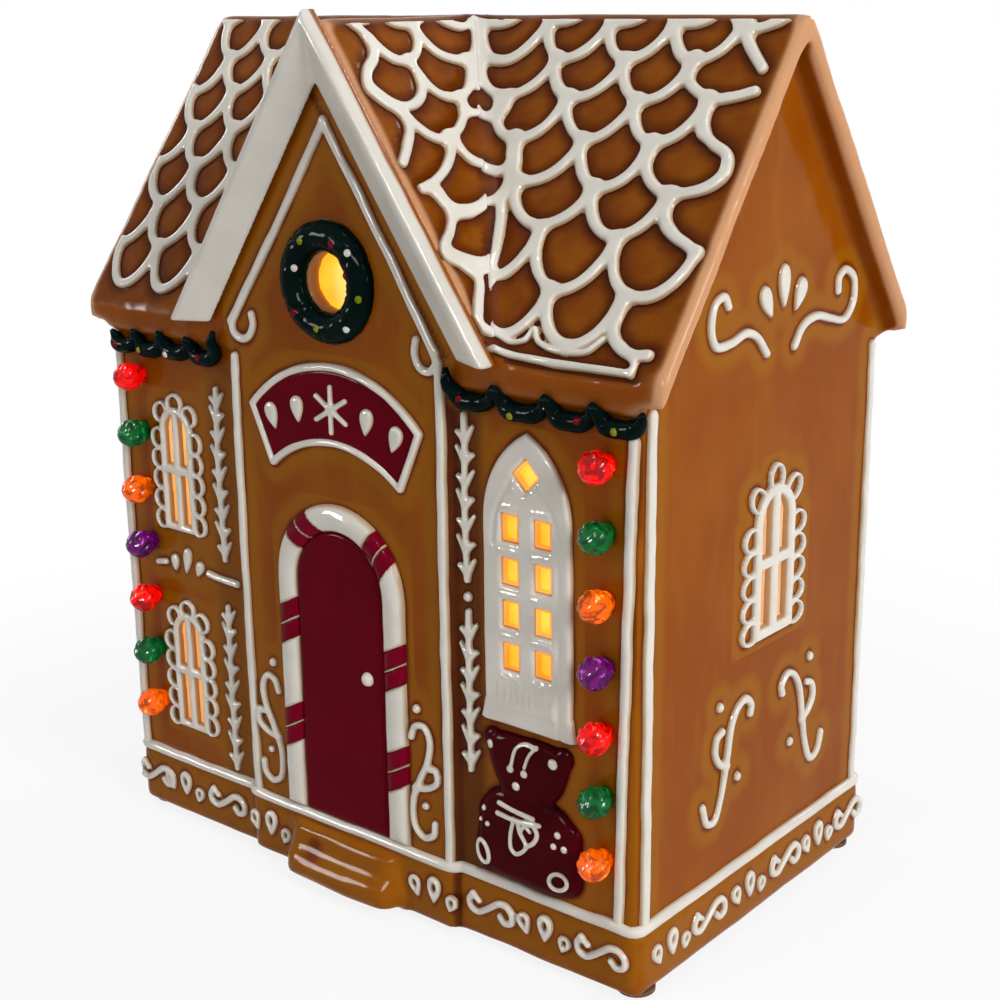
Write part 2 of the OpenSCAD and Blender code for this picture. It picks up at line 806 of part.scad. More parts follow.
wall_line_x = wall_x - wall_corner_r - line_w / 2;
wall_line_y = wall_y - wall_corner_r - line_w / 2;
line_foot = plinth_h + line_w;
line_head = fascia_z - roof_t * 0.2;
corner_line_head = fascia_z - garland_hang;
left_sprig_x = -51;
right_sprig_x = 40.4;
upper_sprig_z = 88;
lower_sprig_z = 22;
sprig_h = 50;
right_upper_sprig_z = 101;
right_lower_sprig_z = 48;
right_sprig_h = 42;
bay_line_x = (bay_w - line_w) / 2;
gable_line_drop = 27;
gable_line_top = ridge_h - gable_line_drop;
gable_line_foot = eave_h;
// A hook's points from the foot of the gable line, as shares of its radius
hook_r = 3.6;
hook_shares = [[0, 0], [0.1, -0.7], [0.6, -1.2], [1.3, -1.2], [1.9, -0.7], [2.1, 0.1]];

module gable_line(side) {
  foot_x = (gable_line_top - gable_line_foot) / tan(gable_angle);
  foot = [bay_x + side * foot_x, gable_line_foot];
  straight([bay_x, gable_line_top], foot, line_w);
  stroke([for (s = hook_shares) foot + hook_r * [-side * s[0], s[1]]], scroll_w);
}

module front_icing() {
  color(icing) placed() {
    on_front(wall_y, icing_t) {
      for (side = [-1, 1]) border(side * wall_line_x, line_foot, corner_line_head);
      translate([left_sprig_x, upper_sprig_z]) sprig(sprig_h);
      translate([left_sprig_x, lower_sprig_z]) sprig(sprig_h);
      translate([right_sprig_x, right_upper_sprig_z]) sprig(right_sprig_h);
      translate([right_sprig_x, right_lower_sprig_z]) sprig(right_sprig_h);
      translate([right_sprig_x, (right_upper_sprig_z + right_lower_sprig_z
                                         + right_sprig_h) / 2]) circle(d = dot_d);
    }
    on_front(bay_y, icing_t) {
      for (side = [-1, 1]) {
        border(bay_x + side * bay_line_x, line_foot, fascia_z);
        gable_line(side);
        translate([bay_x, 0]) mirror([side > 0 ? 1 : 0, 0])
          translate([-(surround_w / 2 + door_scroll_w * 0.62), line_foot + line_w * 1.2])
            door_scroll();
      }
    }
  }
}

side_gable_z = 156;
module side_icing() {
  for (side = [-1, 1]) border(side * wall_line_y, line_foot, line_head);
  translate([side_lace_y, side_lace_z - side_scroll_h * 1.42]) {
    translate([-side_scroll_w * 0.88, 0]) side_scroll();
    translate([side_scroll_w * 0.88, 0]) mirror([1, 0]) side_scroll();
  }
  translate([side_lace_y, side_gable_z]) {
    for (side = [0, 1])
      mirror([side, 0])
        stroke(spread(gable_scroll_shares, gable_scroll_w / 2, gable_scroll_h), scroll_w);
    for (k = [-1 : 1])
      translate([k * drop_w * 1.3, k == 0 ? gable_scroll_h * 0.84 : gable_scroll_h * 0.74])
        rotate(-k * 38) polygon(drop(drop_w * 1.15, drop_h * 1.25));
  }
}

module side_icing_right() {
  color(icing) placed() on_right(wall_x, icing_t) side_icing();
}

module side_icing_left() {
  color(icing) placed() on_left(wall_x, icing_t) side_icing();
}

module back_icing() {
  color(icing) placed() on_back(wall_y, icing_t)
    for (side = [-1, 1]) border(side * wall_line_x, line_foot, line_head);
}

// The piped line that runs round the top of the plinth
module base_line_icing() {
  line_proud = icing_t * 0.6;
  color(icing) placed() translate([0, 0, plinth_h]) difference() {
    linear_extrude(height = line_w) plinth_plan(line_proud);
    translate([0, 0, -over]) linear_extrude(height = line_w + 2 * over) {
      polygon(rounded(plan(wall_x, wall_y), wall_corner_r));
      translate([bay_left, -bay_y]) square([bay_w, wall_y]);
    }
  }
}

band_period = 37.8;
band_z = 10;

module plinth_icing() {
  right = plinth_x - wall_corner_r - plinth_lip;
  color(icing) placed() {
    on_front(plinth_y + bay_proud, icing_t) intersection() {
      for (side = [-1, 1])
        translate([bay_x + side * (step_w / 2 + trio_pitch * 2.25), band_z]) drop_trio();
      translate([bay_left, 0]) square([bay_w, plinth_h]);
    }
    on_front(plinth_y, icing_t) {
      for (side = [-1, 1], k = [0 : 1])
        translate([bay_x + side * (bay_w / 2 + curl_w * 0.62 + k * curl_w * 1.1), band_z])
          if (k == 0) curl(); else drop_trio();
      translate([right - curl_w * 0.5, band_z]) curl();
    }
    for (side = [0, 1])
      mirror([side, 0, 0]) on_right(plinth_x, icing_t)
        for (k = [-1 : 1]) {
          translate([k * band_period - curl_w * 0.3, band_z]) drop_trio();
          translate([k * band_period - curl_w * 0.3 + (k < 1 ? band_period / 2 : curl_w * 0.9), band_z])
            if (k < 1) curl();
        }
    on_back(plinth_y, icing_t)
      for (k = [-2 : 2]) {
        translate([k * band_period, band_z]) drop_trio();
        if (k < 2) translate([(k + 0.5) * band_period, band_z]) curl();
      }
  }
}

// Door

surround_z = plinth_h + line_w;
surround_h = surround_top - surround_z;
surround_spring = surround_h - surround_w / 2;
door_w = surround_w - 2 * surround_band;
door_h = surround_h - surround_band;
stripe_w = 9.8;
stripe_line = 0.9;

module surround_outline() {
  translate([bay_x, surround_z]) difference() {
    polygon(arch(surround_w, surround_spring, surround_h));
    translate([0, -over]) polygon(arch(door_w, surround_spring + over, door_h + over));
  }
}

// Candy stripes as slanted pairs: two on each leg and one on each shoulder
stripe_left_shares = [0.36, 0.81];
stripe_right_shares = [0.32, 0.74];
stripe_tilt = 28;
stripe_shoulders = [-50, 41];
module stripe_pair() {
  for (side = [-1, 1])
    translate([0, side * (stripe_w + stripe_line) / 4])
      square([surround_band * 3, (stripe_w - stripe_line) / 2], center = true);
}

module stripes() {
  leg_x = surround_w / 2 - surround_band / 2;
  translate([bay_x, surround_z]) {
    for (s = stripe_left_shares)
      translate([-leg_x, s * surround_spring]) rotate(stripe_tilt) stripe_pair();
    for (s = stripe_right_shares)
      translate([leg_x, s * surround_spring]) rotate(stripe_tilt) stripe_pair();
    for (a = stripe_shoulders)
      translate([0, surround_spring]) rotate(a)
        translate([0, leg_x]) rotate(90 + stripe_tilt / 2) stripe_pair();
  }
}

module door_surround() {
  color(icing) placed() on_front(bay_y, surround_t) difference() {
    surround_outline();
    stripes();
  }
}

module door_stripes() {
  color(maroon) placed() on_front(bay_y, surround_t) intersection() {
    surround_outline();
    stripes();
  }
}

module door_panel() {
  color(maroon) placed() on_front(bay_y, door_t)
    translate([bay_x, surround_z]) polygon(arch(door_w, surround_spring, door_h));
}

module door_knob() {
  knob_t = knob_d * 0.45;
  ball_r = (knob_t * knob_t + knob_d * knob_d / 4) / (2 * knob_t);
  color(icing) placed()
    translate([bay_x + door_w / 2 - knob_d * 1.4, -bay_y - door_t, surround_z + door_h * 0.54])
      rotate([90, 0, 0]) intersection() {
        translate([0, 0, knob_t - ball_r]) sphere(r = ball_r);
        translate([-knob_d, -knob_d, 0]) cube([2 * knob_d, 2 * knob_d, knob_d]);
      }
}

// Sign: an arched band between two arcs, pulled in by its border

sign_rise = sign_w * 0.215;
sign_narrow = sign_w * 0.11;
function arc_over(half, rise, z, steps) =
  let (r = (half * half + rise * rise) / (2 * rise), a = asin(half / r))
  [for (k = [0 : steps]) [r * sin(a - 2 * a * k / steps), z - r + r * cos(a - 2 * a * k / steps)]];

function sign_outline(inset) =
  let (
    lower_half = sign_w / 2 - sign_narrow,
    top = arc_over(sign_w / 2 - inset * 1.15, sign_rise - inset * 0.2, sign_top - inset, 4 * corner_steps),
    foot = arc_over(lower_half - inset * 1.05, sign_rise * 0.64 - inset * 0.1,
                    sign_top - sign_band + inset, 4 * corner_steps)
  )
  concat(top, [for (k = [len(foot) - 1 : -1 : 0]) foot[k]]);

module sign_border() {
  color(icing) placed() on_front(bay_y, sign_t) translate([bay_x, 0]) difference() {
    polygon(sign_outline(0));
    polygon(sign_outline(sign_border_w));
  }
}

module sign_plaque() {
  color(maroon) placed() on_front(bay_y, sign_t * 0.6) translate([bay_x, 0])
    polygon(sign_outline(sign_border_w));
}

// A piped snowflake between two pairs of drops
module sign_ornament() {
  flake_r = sign_band * 0.27;
  mark_w = sign_w * 0.076;
  mark_h = sign_band * 0.34;
  z = sign_top - sign_band / 2 - sign_border_w * 0.4;
  color(icing) placed() on_front(bay_y + sign_t * 0.6, icing_t * 0.7) translate([bay_x, z]) {
    for (a = [0 : 60 : 120])
      rotate(a + 30) translate([-flake_r, 0]) square([2 * flake_r, scroll_w * 0.7]);
    for (side = [-1, 1], k = [0, 1])
      translate([side * sign_w * (0.19 + k * 0.14), -flake_r * (0.25 + k * 0.5)])
        rotate(side * (-8 - k * 12)) translate([0, -mark_h / 2]) polygon(drop(mark_w, mark_h));
  }
}

// Wreath, garlands and bear

module wreath() {
  r = wreath_roll / 2;
  color(pine) placed() translate([bay_x, -bay_y, wreath_z]) rotate([90, 0, 0])
    rotate_extrude() translate([wreath_d / 2 - r, 0]) intersection() {
      circle(r = r);
      translate([-wreath_roll, 0]) square([2 * wreath_roll, wreath_roll]);
    }
}

// A garland hangs from the fascia in four swags; its cusps reach down half as far
swags = 4;
function garland_edge(w, z, sag) =
  let (pitch = w / swags, steps = 2 * corner_steps)
  [
    for (k = [0 : swags - 1], j = [0 : steps - 1])
      [(k + j / steps) * pitch, z - sag * (1 - pow(2 * j / steps - 1, 2))],
    [w, z]
  ];
module garland_outline(w) {
  lower = garland_edge(w, fascia_z - garland_hang / 2, garland_hang / 2);
  upper = garland_edge(w, fascia_z, garland_hang - swag_h);
  polygon(concat(lower, [for (k = [len(upper) - 1 : -1 : 0]) upper[k]]));
}

module garland_left() {
  color(pine) placed() on_front(wall_y, garland_t)
    translate([-wall_x + wall_corner_r, 0]) garland_outline(garland_left_w);
}

module garland_right() {
  color(pine) placed() on_front(wall_y, garland_t)
    translate([wall_x - wall_corner_r - garland_right_w, 0]) garland_outline(garland_right_w);
}

// The bear sits on the plinth line, under the tall window and beside the bulbs
bear_x = tall_x;
bear_z = plinth_h + line_w;
bear_h = tall_z - bear_gap - bear_z;
bear_reach = bulb_x - bulb_d / 2 - bear_side_gap - tall_x;
head_w = bear_reach * 1.21;
head_h = bear_h * 0.42;
body_w = bear_reach * 1.5;
body_h = bear_h * 0.66;
module bear_outline() {
  translate([bear_x, bear_z]) {
    translate([0, bear_h - head_h * 0.55]) polygon(oval(head_w / 2, head_h / 2));
    translate([0, body_h * 0.47]) polygon(oval(body_w / 2, body_h * 0.47));
    for (side = [-1, 1]) {
      translate([side * head_w * 0.46, bear_h - head_h * 0.2]) circle(r = bear_reach * 0.206);
      translate([side * body_w * 0.42, body_h * 0.62]) circle(r = bear_reach * 0.292);
      translate([side * body_w * 0.44, body_h * 0.24]) circle(r = bear_reach * 0.34);
    }
  }
}

module bear() {
  color(chocolate) placed() on_front(wall_y, bear_t) bear_outline();
}

module bear_icing() {
  bow_w = body_w * 0.26;
  bow_z = body_h * 0.55;
  head_z = bear_h - head_h * 0.55;
  color(icing) placed() on_front(wall_y + bear_t, bear_icing_t) translate([bear_x, bear_z]) {
    straight([-bow_w, bow_z + scroll_w * 1.2], [bow_w, bow_z + scroll_w * 1.2], scroll_w * 0.6);
    straight([-bow_w, bow_z], [bow_w, bow_z], scroll_w * 0.6);
    for (side = [-1, 1]) {
      stroke([[0, bow_z], [side * bow_w * 0.55, bow_z - scroll_w * 0.8],
              [side * bow_w * 0.5, bow_z - scroll_w * 2.2], [0, bow_z - scroll_w * 3.4]],
             scroll_w * 0.6);
      translate([side * head_w * 0.46, bear_h - head_h * 0.2]) circle(d = dot_d);
      translate([side * head_w * 0.14, head_z]) circle(d = dot_d * 0.7);
      translate([side * body_w * 0.44, body_h * 0.2]) difference() {
        polygon(oval(dot_d * 0.9, dot_d * 1.1));
        polygon(oval(dot_d * 0.4, dot_d * 0.55));
      }
    }
    translate([0, head_z - head_h * 0.2]) circle(d = dot_d * 0.8);
  }
}

module tall_window_frame() {
  color(icing) placed() on_front(wall_y, tall_t) difference() {
    tall_outline();
    tall_panes();
  }
}

module small_window_frame(z) {
  color(icing) placed() on_front(wall_y, icing_t * 1.2)
    translate([-lace_x, z]) lace_frame(lace_w, lace_h, side_loops_front);
}

module upper_window_frame() {
  small_window_frame(lace_upper_z);
}

module lower_window_frame() {
  small_window_frame(lace_lower_z);
}

module side_window_frame() {
  translate([side_lace_y, side_lace_z]) lace_frame(side_lace_w, side_lace_h, side_loops_side);
}

module side_window_frame_right() {
  color(icing) placed() on_right(wall_x, icing_t * 1.2) side_window_frame();
}

module side_window_frame_left() {
  color(icing) placed() on_left(wall_x, icing_t * 1.2) side_window_frame();
}

// Translucent films glued inside the walls, behind the panes
film_t = 0.5;
film_edge = 3;

module film_front(x, z, w, h, y) {
  color(glow) placed() translate([x - w / 2, -y, z]) cube([w, film_t, h]);
}

module tall_window_film() {
  film_front(tall_x, tall_z + film_edge, tall_w - film_edge, tall_h - 2 * film_edge, room_y);
}

module round_window_film() {
  r = wreath_d / 2 - wreath_roll + film_edge;
  color(glow) placed() translate([bay_x, film_t - bay_y + wall_t, wreath_z]) rotate([90, 0, 0])
    cylinder(h = film_t, r = r);
}

module upper_window_film() {
  film_front(-lace_x, lace_upper_z - film_edge / 3, lace_w + film_edge / 3, lace_h, room_y);
}

module lower_window_film() {
  film_front(-lace_x, lace_lower_z - film_edge / 3, lace_w + film_edge / 3, lace_h, room_y);
}

module side_film() {
  color(glow) placed()
    translate([room_x - film_t, side_lace_y - side_lace_w / 2, side_lace_z - film_edge / 3])
      cube([film_t, side_lace_w, side_lace_h]);
}

module side_window_film_right() {
  side_film();
}

module side_window_film_left() {
  mirror([1, 0, 0]) side_film();
}

// A bulb: a peg, a collar and a head with twisted flutes, turned as rings of points
bulb_sides = 18;
flute_share = 0.08;
head_twist = 150;
head_share = [0.55, 0.86, 1, 0.96, 0.8, 0.52, 0.2];
function bulb_ring(y, r, depth, twist) = [
  for (k = [0 : bulb_sides - 1])
    let (a = 360 * k / bulb_sides, lobed = r * (1 + (k % 3 == 0 ? -depth : depth / 2)))
    [lobed * cos(a + twist), y, lobed * sin(a + twist)]
];

module bulb(side, k) {
  peg_len = wall_t * 0.9;
  collar_t = bulb_len * 0.1;
  head_len = bulb_len - collar_t;
  head_rings = len(head_share);
  collar_r = peg_d * 0.72;
  rings = concat(
    [bulb_ring(peg_len, peg_d / 2, 0, 0), bulb_ring(0, peg_d / 2, 0, 0),
     bulb_ring(0, collar_r, 0, 0), bulb_ring(-collar_t, collar_r, 0, 0)],
    [for (i = [0 : head_rings - 1])
      bulb_ring(-collar_t - head_len * (i + 0.5) / head_rings, head_share[i] * bulb_d / 2,
                flute_share, head_twist * i / head_rings)]
  );
  count = len(rings);
  points = concat([[0, peg_len, 0]], [for (r = rings) each r], [[0, -bulb_len, 0]]);
  last = len(points) - 1;
  faces = concat(
    [for (j = [0 : bulb_sides - 1]) [0, 1 + (j + 1) % bulb_sides, 1 + j]],
    [for (i = [0 : count - 2], j = [0 : bulb_sides - 1])
      let (a = 1 + i * bulb_sides + j, b = 1 + i * bulb_sides + (j + 1) % bulb_sides)
      each [[a, b, b + bulb_sides], [a, b + bulb_sides, a + bulb_sides]]],
    [for (j = [0 : bulb_sides - 1])
      [last, 1 + (count - 1) * bulb_sides + j, 1 + (count - 1) * bulb_sides + (j + 1) % bulb_sides]]
  );
  color(bulb_colours[k]) placed() translate([side * bulb_x, -wall_y, bulb_height(k)])
    polyhedron(points = points, faces = faces);
}

// Light module: tray, cells, contacts, switch, board and lamps

bay_gap = 0.3;
cell_nub = 1;
spring_len = 3.2;
plate_t = 0.4;
cells_w = cell_count * (cell_d + bay_gap) + bay_gap;
cells_l = cell_len + cell_nub + spring_len + 2 * plate_t;
module_x = port_w / 2 - port_gap;
module_y = port_d / 2 - port_gap;
flange_z = floor_h - shell_t;
cell_z = floor_h + bay_gap + cell_d / 2;
tray_top = cell_z + cell_d / 2 + bay_gap + shell_t;
// The cells lie left to right, at the back of the tray; the switch is at its front
cells_y = module_y - shell_t - cells_w / 2 - bay_gap;
door_x = cells_l / 2 + shell_t;
door_y0 = cells_y - cells_w / 2;
door_y1 = cells_y + cells_w / 2;
hinge_y = door_y1 - shell_t / 2;
hinge_z = flange_z + shell_t / 2;
// Depth that the cells leave free, shared by the door's lip and the switch
free_d = door_y0 + module_y - shell_t;
door_lip = free_d * 0.126;
switch_w = free_d * 0.31;
switch_y = -module_y + shell_t + free_d * 0.38;
switch_l = 9;
knob_l = 7;
post_h = 4;
board_z = tray_top + post_h;
board_thick = 1.6;

module tray_body() {
  translate([0, 0, flange_z]) linear_extrude(height = shell_t)
    polygon(rounded(plan(module_x + flange_w, module_y + flange_w), shell_t * 2));
  translate([0, 0, floor_h - shell_t / 2]) linear_extrude(height = tray_top - floor_h + shell_t / 2)
    polygon(rounded(plan(module_x, module_y), shell_t));
}

module light_tray() {
  lug = 1.2;
  lug_w = 8;
  post_d = 5;
  color("ivory") placed() difference() {
    union() {
      tray_body();
      for (side = [-1, 1], y = [-1, 1])
        translate([0, y * module_y / 2 - lug_w / 2, floor_top + bay_gap]) rotate([90, 0, 0])
          mirror([side > 0 ? 0 : 1, 0, 0]) translate([0, 0, -lug_w])
            linear_extrude(height = lug_w)
              polygon([[module_x - over, 0], [module_x + lug, 0], [module_x, 3 * lug],
                       [module_x - over, 3 * lug]]);
      for (x = [-1, 1], y = [-1, 1])
        translate([x * (module_x - post_d), y * (module_y - post_d), tray_top - over])
          cylinder(h = board_z - tray_top + over, d = post_d);
    }
    // Cell bay, open downwards through the flange
    translate([-cells_l / 2, door_y0, flange_z - over])
      cube([cells_l, cells_w, tray_top - shell_t - flange_z + over]);
    // Recess of the battery door
    translate([-door_x - door_gap, door_y0 - door_lip - door_gap, flange_z - over])
      cube([2 * (door_x + door_gap), cells_w + door_lip + 2 * door_gap,
            shell_t + door_gap / 2 + over]);
    // Holes for the hinge stubs
    for (side = [-1, 1])
      translate([side * (door_x + door_gap - over), hinge_y, hinge_z]) rotate([0, side * 90, 0])
        cylinder(h = over + shell_t, r = stub_d / 2 + stub_gap);
    // Switch housing and its slot
    translate([-switch_l, switch_y - switch_w / 2 - bay_gap, floor_h])
      cube([2 * switch_l, switch_w + 2 * bay_gap, tray_top - shell_t - floor_h]);
    translate([-(knob_l + switch_travel) / 2 - bay_gap, switch_y - switch_w / 4 - bay_gap,
               flange_z - over])
      cube([knob_l + switch_travel + 2 * bay_gap, switch_w / 2 + 2 * bay_gap,
            shell_t + 2 * over]);
  }
}

module battery_door() {
  color("ivory") placed() difference() {
    union() {
      translate([-door_x, door_y0 - door_lip, flange_z])
        cube([2 * door_x, hinge_y - door_y0 + door_lip, shell_t]);
      translate([-door_x, hinge_y, hinge_z]) rotate([0, 90, 0])
        cylinder(h = 2 * door_x, d = shell_t);
      for (side = [-1, 1])
        translate([side * (door_x - over), hinge_y, hinge_z]) rotate([0, side * 90, 0])
          cylinder(h = over + door_gap + shell_t * 0.8, d = stub_d);
    }
    // Thumb groove at the free edge
    translate([0, door_y0 + shell_t, flange_z - shell_t]) rotate([0, 90, 0])
      cylinder(h = door_x / 2, r = shell_t * 1.4, center = true);
  }
}

module power_switch() {
  rest = -switch_travel / 2;
  color("black") placed() translate([rest, switch_y, 0]) {
    translate([-knob_l / 2, -switch_w / 2, floor_h + bay_gap / 2]) cube([knob_l, switch_w, shell_t]);
    translate([-knob_l / 2, -switch_w / 4, flange_z - shell_t / 4])
      cube([knob_l, switch_w / 2, shell_t * 1.5]);
  }
}

module batteries() {
  nub_d = 5.4;
  color("silver") placed()
    for (k = [0 : cell_count - 1])
      translate([0, cells_y + (k - (cell_count - 1) / 2) * (cell_d + bay_gap), cell_z])
        mirror([k % 2, 0, 0]) {
          translate([-cells_l / 2 + plate_t + spring_len, 0, 0]) rotate([0, 90, 0])
            cylinder(h = cell_len, d = cell_d);
          translate([-cells_l / 2 + plate_t + spring_len + cell_len - over, 0, 0])
            rotate([0, 90, 0]) cylinder(h = cell_nub + over, d = nub_d);
        }
}

module contact_plates() {
  plate_w = cell_d * 0.6;
  color("silver") placed()
    for (k = [0 : cell_count - 1], side = [-1, 1])
      translate([side * (cells_l / 2 - plate_t / 2) - plate_t / 2,
                 cells_y + (k - (cell_count - 1) / 2) * (cell_d + bay_gap) - plate_w / 2,
                 cell_z - plate_w / 2])
        cube([plate_t, plate_w, plate_w]);
}

// Each spring is a bent leaf that presses on a cell's flat end
module contact_springs() {
  leaf_w = cell_d * 0.4;
  color("silver") placed()
    for (k = [0 : cell_count - 1])
      translate([0, cells_y + (k - (cell_count - 1) / 2) * (cell_d + bay_gap) - leaf_w / 2, cell_z])
        mirror([k % 2, 0, 0])
          translate([-cells_l / 2 + plate_t, leaf_w, 0]) rotate([90, 0, 0])
            linear_extrude(height = leaf_w)
              polygon(band([[plate_t / 2, -leaf_w / 2], [spring_len - plate_t, leaf_w * 0.1],
                            [plate_t, leaf_w / 2]], plate_t));
}

board_x = module_x - shell_t;
board_y = module_y - shell_t;
module circuit_board() {
  color("darkgreen") placed() translate([-board_x, -board_y, board_z])
    cube([2 * board_x, 2 * board_y, board_thick]);
}

lamp_d = 5;
lamp_count = 4;
module led_lamps() {
  color("lightyellow") placed()
    for (k = [0 : lamp_count - 1])
      translate([(k - (lamp_count - 1) / 2) * lamp_d * 3, 0, board_z + board_thick]) {
        cylinder(h = lamp_d * 0.2, d = lamp_d * 1.16);
        cylinder(h = lamp_d, d = lamp_d);
        translate([0, 0, lamp_d]) sphere(d = lamp_d);
      }
}

// Two leads from the cell bay's contacts up to the board
module lamp_leads() {
  lead_d = 1.4;
  color("red") placed()
    for (side = [-1, 1])
      translate([side * lamp_d * 1.5, -module_y + lamp_d, tray_top])
        cylinder(h = board_z - tray_top, d = lead_d);
}

module felt_pads() {
  color("saddlebrown") placed()
    for (x = [-1, 1], y = [-1, 1])
      translate([x * (plinth_x - rim_w / 2), y * (plinth_y - rim_w / 2 - wall_corner_r), -felt_t])
        cylinder(h = felt_t, d = felt_d);
}

house_shell();
bargeboards();
roof_icing_front_right();
roof_icing_front_left();
gable_icing_right();
gable_icing_left();
roof_icing_back();
front_icing();
side_icing_right();
side_icing_left();
back_icing();
base_line_icing();
plinth_icing();
door_panel();
door_surround();
door_stripes();
door_knob();
sign_plaque();
sign_border();
sign_ornament();
wreath();
garland_left();
garland_right();
bear();
bear_icing();
tall_window_frame();
upper_window_frame();
lower_window_frame();
side_window_frame_right();
side_window_frame_left();
tall_window_film();
round_window_film();
upper_window_film();
lower_window_film();
side_window_film_right();
side_window_film_left();
bulb(-1, 0);  // bulb_left_1
bulb(-1, 1);  // bulb_left_2
bulb(-1, 2);  // bulb_left_3
bulb(-1, 3);  // bulb_left_4
bulb(-1, 4);  // bulb_left_5
bulb(-1, 5);  // bulb_left_6
bulb(-1, 6);  // bulb_left_7
bulb(1, 0);  // bulb_right_1
bulb(1, 1);  // bulb_right_2
bulb(1, 2);  // bulb_right_3
bulb(1, 3);  // bulb_right_4
bulb(1, 4);  // bulb_right_5
bulb(1, 5);  // bulb_right_6
bulb(1, 6);  // bulb_right_7
light_tray();
battery_door();
power_switch();
batteries();
contact_plates();
contact_springs();
circuit_board();
led_lamps();
lamp_leads();
felt_pads();
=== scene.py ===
import math

import bpy
import numpy as np
from mathutils import Matrix, Vector


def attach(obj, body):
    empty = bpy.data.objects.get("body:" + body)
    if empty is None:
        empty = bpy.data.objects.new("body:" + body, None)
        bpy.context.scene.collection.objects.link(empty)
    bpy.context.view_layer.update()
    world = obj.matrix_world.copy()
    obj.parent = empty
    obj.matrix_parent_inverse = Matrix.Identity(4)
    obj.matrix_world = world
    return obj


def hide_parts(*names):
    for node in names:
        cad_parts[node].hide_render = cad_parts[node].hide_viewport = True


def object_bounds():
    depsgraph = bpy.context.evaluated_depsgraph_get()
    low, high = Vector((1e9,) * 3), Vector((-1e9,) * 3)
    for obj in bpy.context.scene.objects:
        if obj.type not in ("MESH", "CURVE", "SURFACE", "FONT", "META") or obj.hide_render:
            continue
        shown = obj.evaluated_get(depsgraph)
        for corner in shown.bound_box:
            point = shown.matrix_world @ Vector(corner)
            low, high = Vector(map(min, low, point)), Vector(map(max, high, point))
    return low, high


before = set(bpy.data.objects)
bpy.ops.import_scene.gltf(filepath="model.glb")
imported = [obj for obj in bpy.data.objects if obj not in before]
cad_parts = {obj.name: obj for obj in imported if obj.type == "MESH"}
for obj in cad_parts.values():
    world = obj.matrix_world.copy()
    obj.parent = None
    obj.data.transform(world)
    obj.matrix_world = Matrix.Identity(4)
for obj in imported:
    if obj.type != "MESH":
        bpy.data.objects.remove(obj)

cad_lo, cad_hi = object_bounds()

# Sizes in millimetres, in the house's own frame: z starts at the rim, y at the middle of the walls
MM = 0.001
ORIGIN = np.array([0.0, 4.1, 1.2])  # where that frame stands in the shared one
WALL_X, WALL_Y = 94.0, 56.5
PLINTH_LIP, PLINTH_Z = 1.4, 17.0
BAY_X, BAY_W, BAY_PROUD = -2.5, 78.0, 2.4
BAY_Y = WALL_Y + BAY_PROUD
BAND_X, BAND_Y = WALL_X + PLINTH_LIP, WALL_Y + PLINTH_LIP
BAY_BAND_Y = BAND_Y + BAY_PROUD
ROOF_Y, GABLE_HALF = 60.1, 56.0
EAVE_Z, RIDGE_Z = 159.3, 240.8
ROOF_RUN = math.hypot(RIDGE_Z - EAVE_Z, ROOF_Y)
GABLE_RUN = math.hypot(RIDGE_Z - EAVE_Z, GABLE_HALF)
ROOF_COS, ROOF_SIN = ROOF_Y / ROOF_RUN, (RIDGE_Z - EAVE_Z) / ROOF_RUN
GABLE_COS, GABLE_SIN = GABLE_HALF / GABLE_RUN, (RIDGE_Z - EAVE_Z) / GABLE_RUN


def to_row(points):
    return (np.asarray(points, float) + ORIGIN) * MM


class Panel:
    """A flat face of the house: u and v run along it, n stands out of it."""

    def __init__(self, origin, u, v, n):
        self.origin, self.u, self.v, self.n = (np.array(a, float) for a in (origin, u, v, n))
        self.flip = np.dot(np.cross(self.u, self.v), self.n) < 0

    def point(self, a, b, h):
        return (self.origin + np.multiply.outer(a, self.u) + np.multiply.outer(b, self.v)
                + np.multiply.outer(h, self.n))

    def local(self, p):
        """Where points lie along u, v and n."""
        rel = p - self.origin
        return rel @ self.u, rel @ self.v, rel @ self.n


def upright(x, y, n):
    along = (1, 0, 0) if n[1] else (0, 1, 0)
    return Panel((x, y, 0), along, (0, 0, 1), n)


FRONT = upright(0, -WALL_Y, (0, -1, 0))
BAY = upright(0, -BAY_Y, (0, -1, 0))
BACK = upright(0, WALL_Y, (0, 1, 0))
RIGHT = upright(WALL_X, 0, (1, 0, 0))
LEFT = upright(-WALL_X, 0, (-1, 0, 0))
BAND_FRONT = upright(0, -BAND_Y, (0, -1, 0))
BAND_BAY = upright(0, -BAY_BAND_Y, (0, -1, 0))
BAND_BACK = upright(0, BAND_Y, (0, 1, 0))
BAND_RIGHT = upright(BAND_X, 0, (1, 0, 0))
BAND_LEFT = upright(-BAND_X, 0, (-1, 0, 0))
ROOF = Panel((0, -ROOF_Y, EAVE_Z), (1, 0, 0), (0, ROOF_COS, ROOF_SIN), (0, -ROOF_SIN, ROOF_COS))
ROOF_BACK = Panel((0, ROOF_Y, EAVE_Z), (1, 0, 0), (0, -ROOF_COS, ROOF_SIN), (0, ROOF_SIN, ROOF_COS))
GABLE_R = Panel((BAY_X + GABLE_HALF, 0, EAVE_Z), (0, 1, 0), (-GABLE_COS, 0, GABLE_SIN),
                (GABLE_SIN, 0, GABLE_COS))
GABLE_L = Panel((BAY_X - GABLE_HALF, 0, EAVE_Z), (0, 1, 0), (GABLE_COS, 0, GABLE_SIN),
                (-GABLE_SIN, 0, GABLE_COS))


# Noise and distance fields

